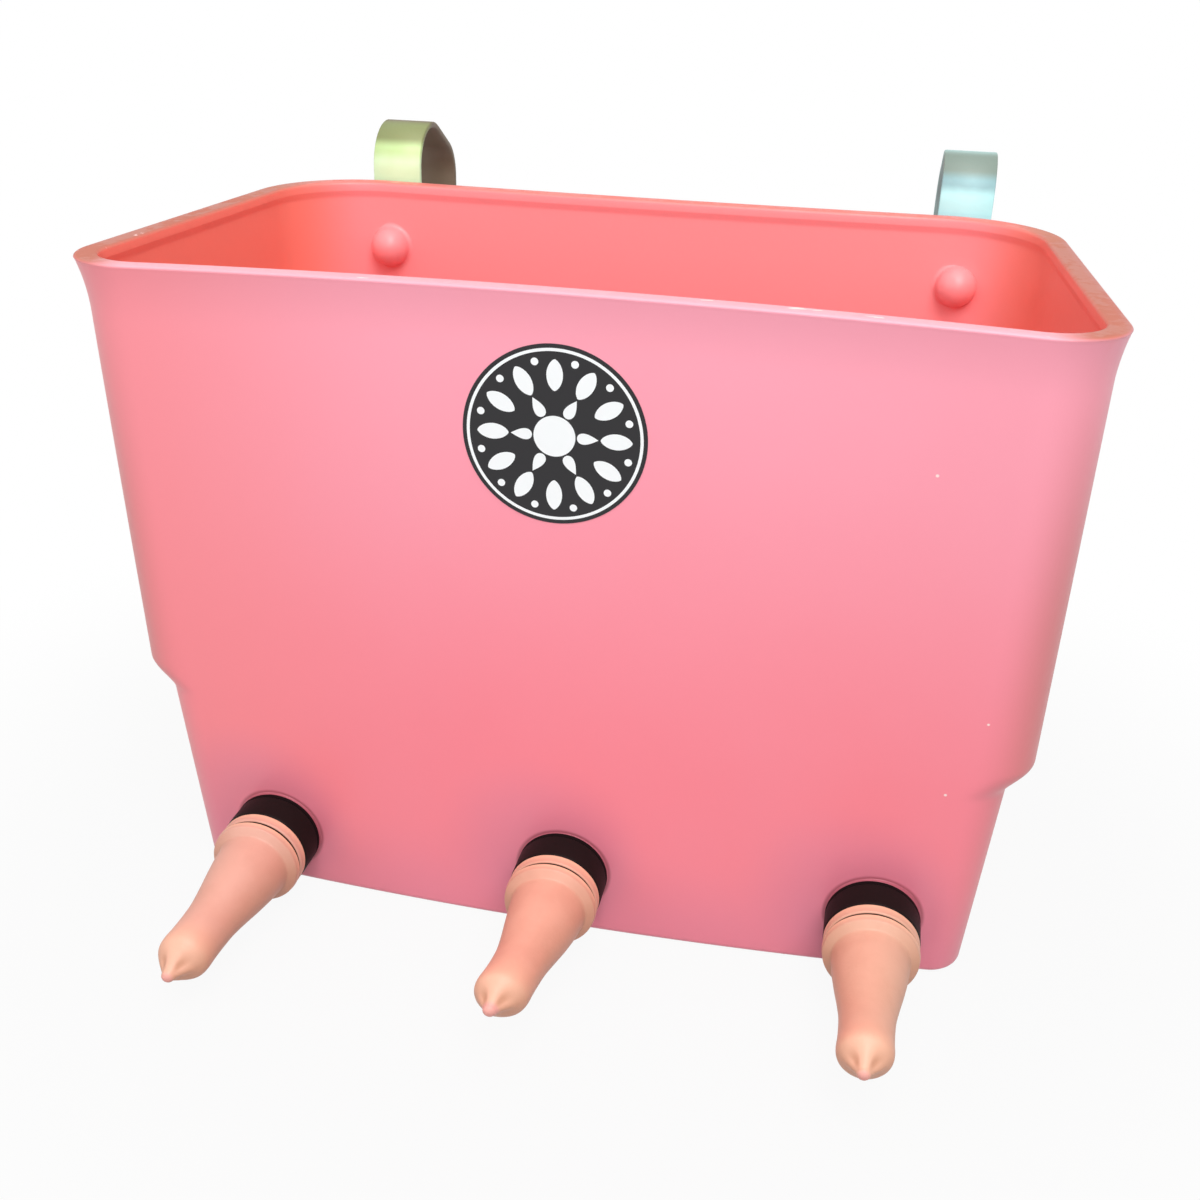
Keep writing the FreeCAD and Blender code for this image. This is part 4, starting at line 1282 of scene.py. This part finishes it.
@dataclass
class Teat:
    """One rubber teat: flange, groove, cuff, tapering shaft, bulb and folded tip."""

    name: str
    x: float
    seat_y: float
    z: float
    tint: str
    bend: tuple[float, float] = (0.0, 0.0)
    face: float = 15.6
    stem_radius: float = 13.85
    stem_end: float = 4.9
    bore: float = 9.0
    flange: tuple[float, float] = (20.3, 5.2)
    groove: tuple[float, float] = (17.0, 1.3)
    cuff: tuple[float, float] = (20.6, 3.5)
    crease: tuple[float, float] = (27.9, 16.7)
    shaft: tuple[tuple[float, float], ...] = ((30.0, 16.3), (33.0, 16.0), (36.0, 15.7),
                                              (41.0, 14.95), (46.0, 14.15), (54.0, 12.7),
                                              (63.0, 11.35), (71.0, 10.95), (78.0, 10.95),
                                              (83.0, 11.15), (86.2, 10.7), (88.6, 9.1),
                                              (90.6, 7.1), (92.6, 5.2), (94.4, 3.8),
                                              (96.0, 2.8))
    tip: float = 98.0
    rubber: float = 3.6
    folds: int = 4
    fold_depth: float = 0.11
    fold_place: float = 92.6
    nose_start: float = 83.0
    turns: int = 120

    def profile(self) -> Profile:
        """Closed outline (ahead of the seat, radius)."""
        flange_end = self.face + self.flange[1]
        cuff_start = flange_end + self.groove[1]
        cuff_end = cuff_start + self.cuff[1]
        outer = rounded([(self.stem_end, self.bore, 0.0), (self.stem_end, self.stem_radius, 0.6),
                         (self.face, self.stem_radius, 0.3), (self.face, self.flange[0], 0.7),
                         (flange_end, self.flange[0], 1.3), (flange_end, self.groove[0], 0.2),
                         (cuff_start, self.groove[0], 0.2), (cuff_start, self.cuff[0], 1.1),
                         (cuff_end, self.cuff[0] - 0.5, 1.3), (*self.crease, 1.6),
                         (*self.shaft[0], 0.0)], 6)
        outer += smooth_curve(self.shaft, 6)[1:]
        last, radius = self.shaft[-1]
        for turn in quarter(6)[1:]:
            outer.append((last + (self.tip - last) * math.sin(turn), radius * math.cos(turn)))
        outer[-1] = (self.tip, 0.0)
        inner = [(last - self.rubber, 0.0), (last - self.rubber, 1.2)]
        inner += [(ahead, max(radius - self.rubber, 1.6))
                  for ahead, radius in reversed(self.shaft[:-3])]
        return outer + inner + [(self.face, self.bore)]

    def wobble(self, ahead: float, radius: float, angle: float) -> float:
        """Uneven rubber: shallow folds that run from the tip over the nose."""
        if radius < self.bore and ahead < self.nose_start:
            return 1.0
        near = math.exp(-((ahead - self.fold_place) / 2.6) ** 2)
        turn = angle - math.pi / 2 + 0.1 * math.sin(2 * angle)
        return 1.0 + self.fold_depth * near * (math.cos(self.folds * turn) - 0.15)

    def marks(self, points: np.ndarray) -> dict[str, np.ndarray]:
        """Painted shade in the groove, painted highlight on the edges and painted shade on the
        flanks and in the nose's folds, at each point of the straight teat, 0 to 1.

        Args:
            points: the teat's points in millimetres, before it is bent.

        Returns:
            One number a point under "dirt", "pale" and "brown".
        """
        ahead = self.seat_y - points[:, 1]
        across, up = points[:, 0] - self.x, points[:, 2] - self.z
        radius = np.hypot(across, up)
        height, aside = up / np.maximum(radius, 0.01), across / np.maximum(radius, 0.01)
        start = self.face + self.flange[1]
        cuff = start + self.groove[1]
        groove = (ahead > start - 0.1) & (ahead < cuff + 0.1)
        groove &= (radius < self.flange[0] - 0.9) & (radius > self.stem_radius)
        # Painted highlight along the flange's rear edge and the cuff's edge.
        pale = np.exp(-((ahead - self.face - 0.4) / 0.6) ** 2)
        pale += np.exp(-((ahead - cuff - 0.6) / 0.9) ** 2)
        # Painted shade in the valleys between the nose's folds.
        fold = np.exp(-((ahead - self.fold_place) / 2.4) ** 2) * (radius > 2.5)
        turn = np.arctan2(up, across) - math.pi / 2
        fold *= np.clip(-np.cos(self.folds * turn), 0.0, 1.0)
        # Painted shade, darker down the sides and underneath.
        flank = np.clip(1.0 - height, 0.0, 1.0) ** 1.3 * (ahead > cuff)
        # Painted shade in the groove, darkest at its top and towards +X.
        found = {"groove_shade": groove * (0.45 + height + 0.4 * aside),
                 "pale": pale * (radius > self.groove[0]), "brown": flank * 0.8 + fold}
        return {name: np.clip(values, 0.0, 1.0) for name, values in found.items()}

    def bent(self, points: np.ndarray) -> np.ndarray:
        """Let the soft shaft lean away from its axis towards the tip."""
        ahead = self.seat_y - points[:, 1]
        root = self.crease[0]
        share = np.clip((ahead - root) / (self.tip - root), 0.0, None) ** 1.6
        return points + np.outer(share, (self.bend[0], 0.0, self.bend[1]))

    def build(self) -> list[bpy.types.Object]:
        """Make the teat."""
        points, faces = lathe(self.profile(), (self.x, self.seat_y, self.z), self.turns,
                              self.wobble)
        teat = make_piece("rubber_" + self.name, self.bent(points), faces,
                          bpy.data.materials[self.tint])
        mark(teat, **self.marks(points))
        recalculate(teat)
        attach(teat, BODY)
        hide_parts("teat_" + self.name)
        return [teat]


def smooth_curve(points: Sequence[tuple[float, float]], steps: int) -> Profile:
    """Catmull-Rom curve through the points.

    Args:
        points: what the curve passes through.
        steps: spans between two of them.

    Returns:
        The curve's points.
    """
    own = [np.array(point) for point in points]
    own = [own[0] * 2 - own[1]] + own + [own[-1] * 2 - own[-2]]
    made: Profile = []
    for a, b, c, d in zip(own, own[1:], own[2:], own[3:]):
        for step in range(steps):
            t = step / steps
            point = 0.5 * (2 * b + (c - a) * t + (2 * a - 5 * b + 4 * c - d) * t ** 2
                           + (3 * b - a - 3 * c + d) * t ** 3)
            made.append((float(point[0]), float(point[1])))
    made.append((float(points[-1][0]), float(points[-1][1])))
    return made


# Hooks

@dataclass
class Hook:
    """One steel strap bent over the rail, its worn edges drawn as small bevels."""

    side: str
    x: float
    face: float
    bolt_z: float
    tint: str
    width: float = 25.0
    thickness: float = 3.0
    drop: float = 31.5
    tail: float = 16.0
    gap: float = 56.0
    crown: float = 26.5
    bend: float = 22.0
    slope: float = 30.0
    reach: float = 15.0
    low_corner: float = 10.0
    tip_corner: float = 6.0
    edge: float = 0.5

    def path(self) -> list[Place]:
        """(y, z) of the strap's middle line with its outward direction (y, z)."""
        half = self.thickness / 2
        span = self.gap + self.thickness * 2
        slope = math.radians(self.slope)
        front = self.drop + self.crown - self.bend
        back = front - (span - self.bend * 2) * math.tan(slope)
        line: list[Place] = []
        line += straight((half, -self.tail), (half, front), (-1.0, 0.0), self.low_corner)
        line += arc((self.bend, front), self.bend - half, 180.0, 90.0 - self.slope, 14)[1:]
        line += arc((span - self.bend, back), self.bend - half, 90.0 - self.slope, 0.0, 14)
        line += straight((span - half, back), (span - half, -self.reach), (1.0, 0.0),
                         -self.tip_corner)[1:]
        return line

    def build(self) -> list[bpy.types.Object]:
        """Make the strap."""
        line = self.path()
        lengths = list(accumulate((math.dist(one[:2], two[:2]) for one, two in zip(line, line[1:])),
                                  initial=0.0))
        thin, edge = self.thickness / 2, self.edge
        rings = []
        for (y, z, out_y, out_z), along in zip(line, lengths):
            half = self.width / 2 - max(corner_loss(along, self.low_corner),
                                        corner_loss(lengths[-1] - along, self.tip_corner))
            section = [(half, thin - edge), (half - edge, thin), (-half + edge, thin),
                       (-half, thin - edge), (-half, -thin + edge), (-half + edge, -thin),
                       (half - edge, -thin), (half, -thin + edge)]
            rings.append([(self.x + across, self.face + y + out_y * out,
                           self.bolt_z + z + out_z * out) for across, out in section])
        points, faces = stack(rings)
        size = len(rings[0])
        faces += [tuple(range(size))[::-1], tuple(range(len(points) - size, len(points)))]
        strap = make_piece("strap_" + self.side, points, faces, bpy.data.materials[self.tint])
        recalculate(strap)
        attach(strap, BODY)
        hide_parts("hook_" + self.side)
        return [strap]


def corner_loss(along: float, bend: float) -> float:
    """How much narrower a strap with rounded corners is near its end."""
    if along >= bend:
        return 0.0
    return bend - math.sqrt(max(bend * bend - (bend - along) ** 2, 0.0))


def straight(start: tuple[float, float], end: tuple[float, float], outward: tuple[float, float],
             corner: float) -> list[Place]:
    """Points along a straight leg, closer together at its rounded end.

    Args:
        start: first point (y, z).
        end: last point.
        outward: direction of the strap's outer face.
        corner: rounding at the start, or below 0 at the end.

    Returns:
        (y, z, outward y, outward z) of each point.
    """
    length = math.dist(start, end)
    bend = abs(corner)
    near = [bend * (1 - math.cos(angle)) for angle in quarter(8)]
    far = [bend + (length - bend) * step / 12 for step in range(1, 13)]
    places = near + far
    if corner < 0:
        places = [length - place for place in reversed(places)]
    made = []
    for place in places:
        share = place / length
        made.append((start[0] + (end[0] - start[0]) * share,
                     start[1] + (end[1] - start[1]) * share, *outward))
    return made


def arc(centre: tuple[float, float], radius: float, first: float, last: float,
        steps: int) -> list[Place]:
    """Points along a bend, from one angle in degrees to another."""
    made = []
    for step in range(steps + 1):
        angle = math.radians(first + (last - first) * step / steps)
        made.append((centre[0] + radius * math.cos(angle), centre[1] + radius * math.sin(angle),
                     math.cos(angle), math.sin(angle)))
    return made


# Small parts that keep their own meshes

FINISHES = {
    "black_plastic": PlainFinish("black_plastic", linear(30, 21, 21), 0.5, spread=0.2,
                                 specular=0.07),
    "black_seal": PlainFinish("black_seal", linear(22, 15, 16), 0.7, specular=0.07),
    "white_valve": PlainFinish("white_valve", linear(236, 234, 228), 0.4),
    "white_ball": PlainFinish("white_ball", linear(244, 243, 240), 0.25),
    "zinc_bolt": PlainFinish("zinc_bolt", linear(196, 198, 200), 0.32, 1.0),
    "brass_insert": PlainFinish("brass_insert", linear(206, 168, 92), 0.34, 1.0),
    "strap_left": PlatedStrap("strap_left", linear(140, 148, 98), linear(196, 226, 158),
                              linear(222, 255, 206), linear(122, 108, 88), linear(186, 190, 168)),
    "strap_right": PlatedStrap("strap_right", linear(134, 150, 140), linear(146, 186, 190),
                               linear(196, 255, 255), linear(176, 210, 206),
                               linear(176, 190, 188)),
}
KEPT = {"seal_washer": "black_seal", "back_nut": "black_plastic", "valve_seat": "white_valve",
        "valve_ball": "white_ball", "hook_bolt": "zinc_bolt", "hook_washer": "zinc_bolt",
        "insert": "brass_insert"}


@dataclass
class SmallParts:
    """The parts whose own meshes are right: each only gets its finish."""

    nodes: dict[str, bpy.types.Object]

    def build(self) -> list[bpy.types.Object]:
        """Give each part its finish."""
        dressed = []
        for name, piece in sorted(self.nodes.items()):
            for kind, finish in KEPT.items():
                if name.startswith(kind + "_"):
                    piece.data.materials.clear()
                    piece.data.materials.append(bpy.data.materials[finish])
                    dressed.append(piece)
        return dressed


# Studio

@dataclass(frozen=True)
class Lamp:
    """One soft square lamp that looks at the middle of the tub, in metres and watts."""

    name: str
    place: Point
    size: float
    watts: float
    aim: Point = (0.0, 0.0, 0.15)

    def hang(self) -> None:
        """Put the lamp in the scene."""
        data = bpy.data.lights.new(self.name, "AREA")
        data.energy = self.watts
        data.size = self.size
        lamp = bpy.data.objects.new(self.name, data)
        lamp.location = self.place
        looks = Vector(self.aim) - Vector(self.place)
        lamp.rotation_euler = looks.to_track_quat("-Z", "Y").to_euler()
        bpy.context.scene.collection.objects.link(lamp)


@dataclass
class Studio:
    """Pale floor, soft lamps and the camera at the photograph's angle."""

    place: Point = (110.225, -569.032, 411.786)
    yaw: float = 0.195
    pitch: float = 0.457
    roll: float = 0.029
    focal_pixels: float = 1346.43
    floor_size: float = 40.0
    shadow: tuple[float, float] = (220.0, 480.0)
    glow: float = 0.93
    ambient: float = 0.52
    lamps: tuple[Lamp, ...] = (Lamp("key", (0.55, -1.25, 2.0), 1.2, 29.0),
                               Lamp("fill", (-1.3, -1.1, 1.0), 1.4, 6.0),
                               Lamp("front", (0.35, -1.9, 1.1), 1.2, 8.5),
                               Lamp("top", (0.0, -0.3, 2.2), 1.4, 11.0),
                               Lamp("glint", (0.25, -0.75, 2.0), 0.1, 1.4))

    def camera(self) -> None:
        """Create the camera and make it the scene's."""
        data = bpy.data.cameras.new("camera")
        data.sensor_width = SENSOR
        data.lens = self.focal_pixels / FRAME_PIXELS * SENSOR
        data.clip_start = 0.01
        camera = bpy.data.objects.new("camera", data)
        forward = Vector((-math.sin(self.yaw) * math.cos(self.pitch),
                          math.cos(self.yaw) * math.cos(self.pitch), -math.sin(self.pitch)))
        right = Vector((math.cos(self.yaw), math.sin(self.yaw), 0.0))
        up = right.cross(forward)
        cosine, sine = math.cos(self.roll), math.sin(self.roll)
        across = right * cosine + up * sine
        upward = up * cosine - right * sine
        turn = Matrix((across, upward, -forward)).transposed()
        camera.matrix_world = Matrix.Translation(Vector(self.place) * MM) @ turn.to_4x4()
        bpy.context.scene.collection.objects.link(camera)
        bpy.context.scene.camera = camera

    def floor(self) -> None:
        """Lay the pale floor, plain white to the eye but for the object's shadow."""
        half = self.floor_size / MM / 2
        points = np.array([(-half, -half, 0), (half, -half, 0), (half, half, 0), (-half, half, 0)])
        shade = Shade("floor")
        shade.finish(Base_Color=linear(165, 165, 165), Roughness=0.9)
        x, y, _ = shade.place()
        far = ((x * x + y * y) ** 0.5).ramp(*self.shadow)
        glow = shade.node("ShaderNodeEmission", None, Color=(1.0, 1.0, 1.0), Strength=1.0)
        mix = shade.node("ShaderNodeMixShader")
        share = shade.seen() * (far * (1.0 - self.glow) + self.glow)
        for number, value in enumerate((share, shade.shader.outputs[0], glow.outputs[0])):
            shade.feed(mix.inputs[number], value)
        shade.feed(shade.output.inputs["Surface"], mix.outputs[0])
        floor = make_piece("floor", points, [(0, 1, 2, 3)], shade.material, smooth=False)

    def light(self) -> None:
        """Hang the lamps and set the pale surroundings."""
        world = bpy.data.worlds.new("studio")
        world.use_nodes = True
        tree = Tree(world.node_tree)
        strength = tree.seen() * (1.0 - self.ambient) + self.ambient
        background = tree.node("ShaderNodeBackground", None, Strength=strength)
        tree.node("ShaderNodeOutputWorld", None, Surface=background.outputs[0])
        bpy.context.scene.world = world
        for lamp in self.lamps:
            lamp.hang()

    def build(self) -> list[bpy.types.Object]:
        """Set up everything that isn't the object."""
        self.camera()
        self.floor()
        self.light()
        bpy.context.scene.view_settings.view_transform = "Standard"
        return []


def main() -> None:
    """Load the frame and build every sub-assembly."""
    logging.basicConfig(level=logging.INFO, format="%(name)s: %(message)s")
    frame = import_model()
    for finish in FINISHES.values():
        finish.material()
    for name, (colour, deep) in TINTS.items():
        TeatRubber("rubber_of_teat_" + name, linear(*colour), linear(*deep)).material()
    shape = TubShape()
    teat_x = {name: centre(frame, "teat_" + name).x for name in TEATS}
    teat_z = {name: centre(frame, "teat_" + name).z for name in TEATS}
    hook_x = {side: centre(frame, "hook_" + side).x for side in SIDES}
    tub = Tub(shape, teat_x, teat_z, hook_x)
    builders: list[object] = [Studio(), tub, Label(shape)]
    for name in TEATS:
        place = (teat_x[name], tub.seat_y(name), teat_z[name])
        builders.append(Fitting(name, *place))
        builders.append(Teat(name, *place, "rubber_of_teat_" + name, BENDS[name]))
    for side in SIDES:
        builders.append(Hook(side, hook_x[side], shape.depth / 2 + tub.standoff,
                             shape.height - tub.bolt_drop, "strap_" + side))
    builders.append(SmallParts(frame["nodes"]))
    for builder in builders:
        for piece in builder.build():
            LOG.info("%s: %d faces", piece.name, len(piece.data.polygons))


def centre(frame: dict, node: str) -> Vector:
    """Middle of a node's box in millimetres."""
    low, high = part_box(node)
    return (low + high) / 2 / MM


if __name__ == "__main__":
    main()
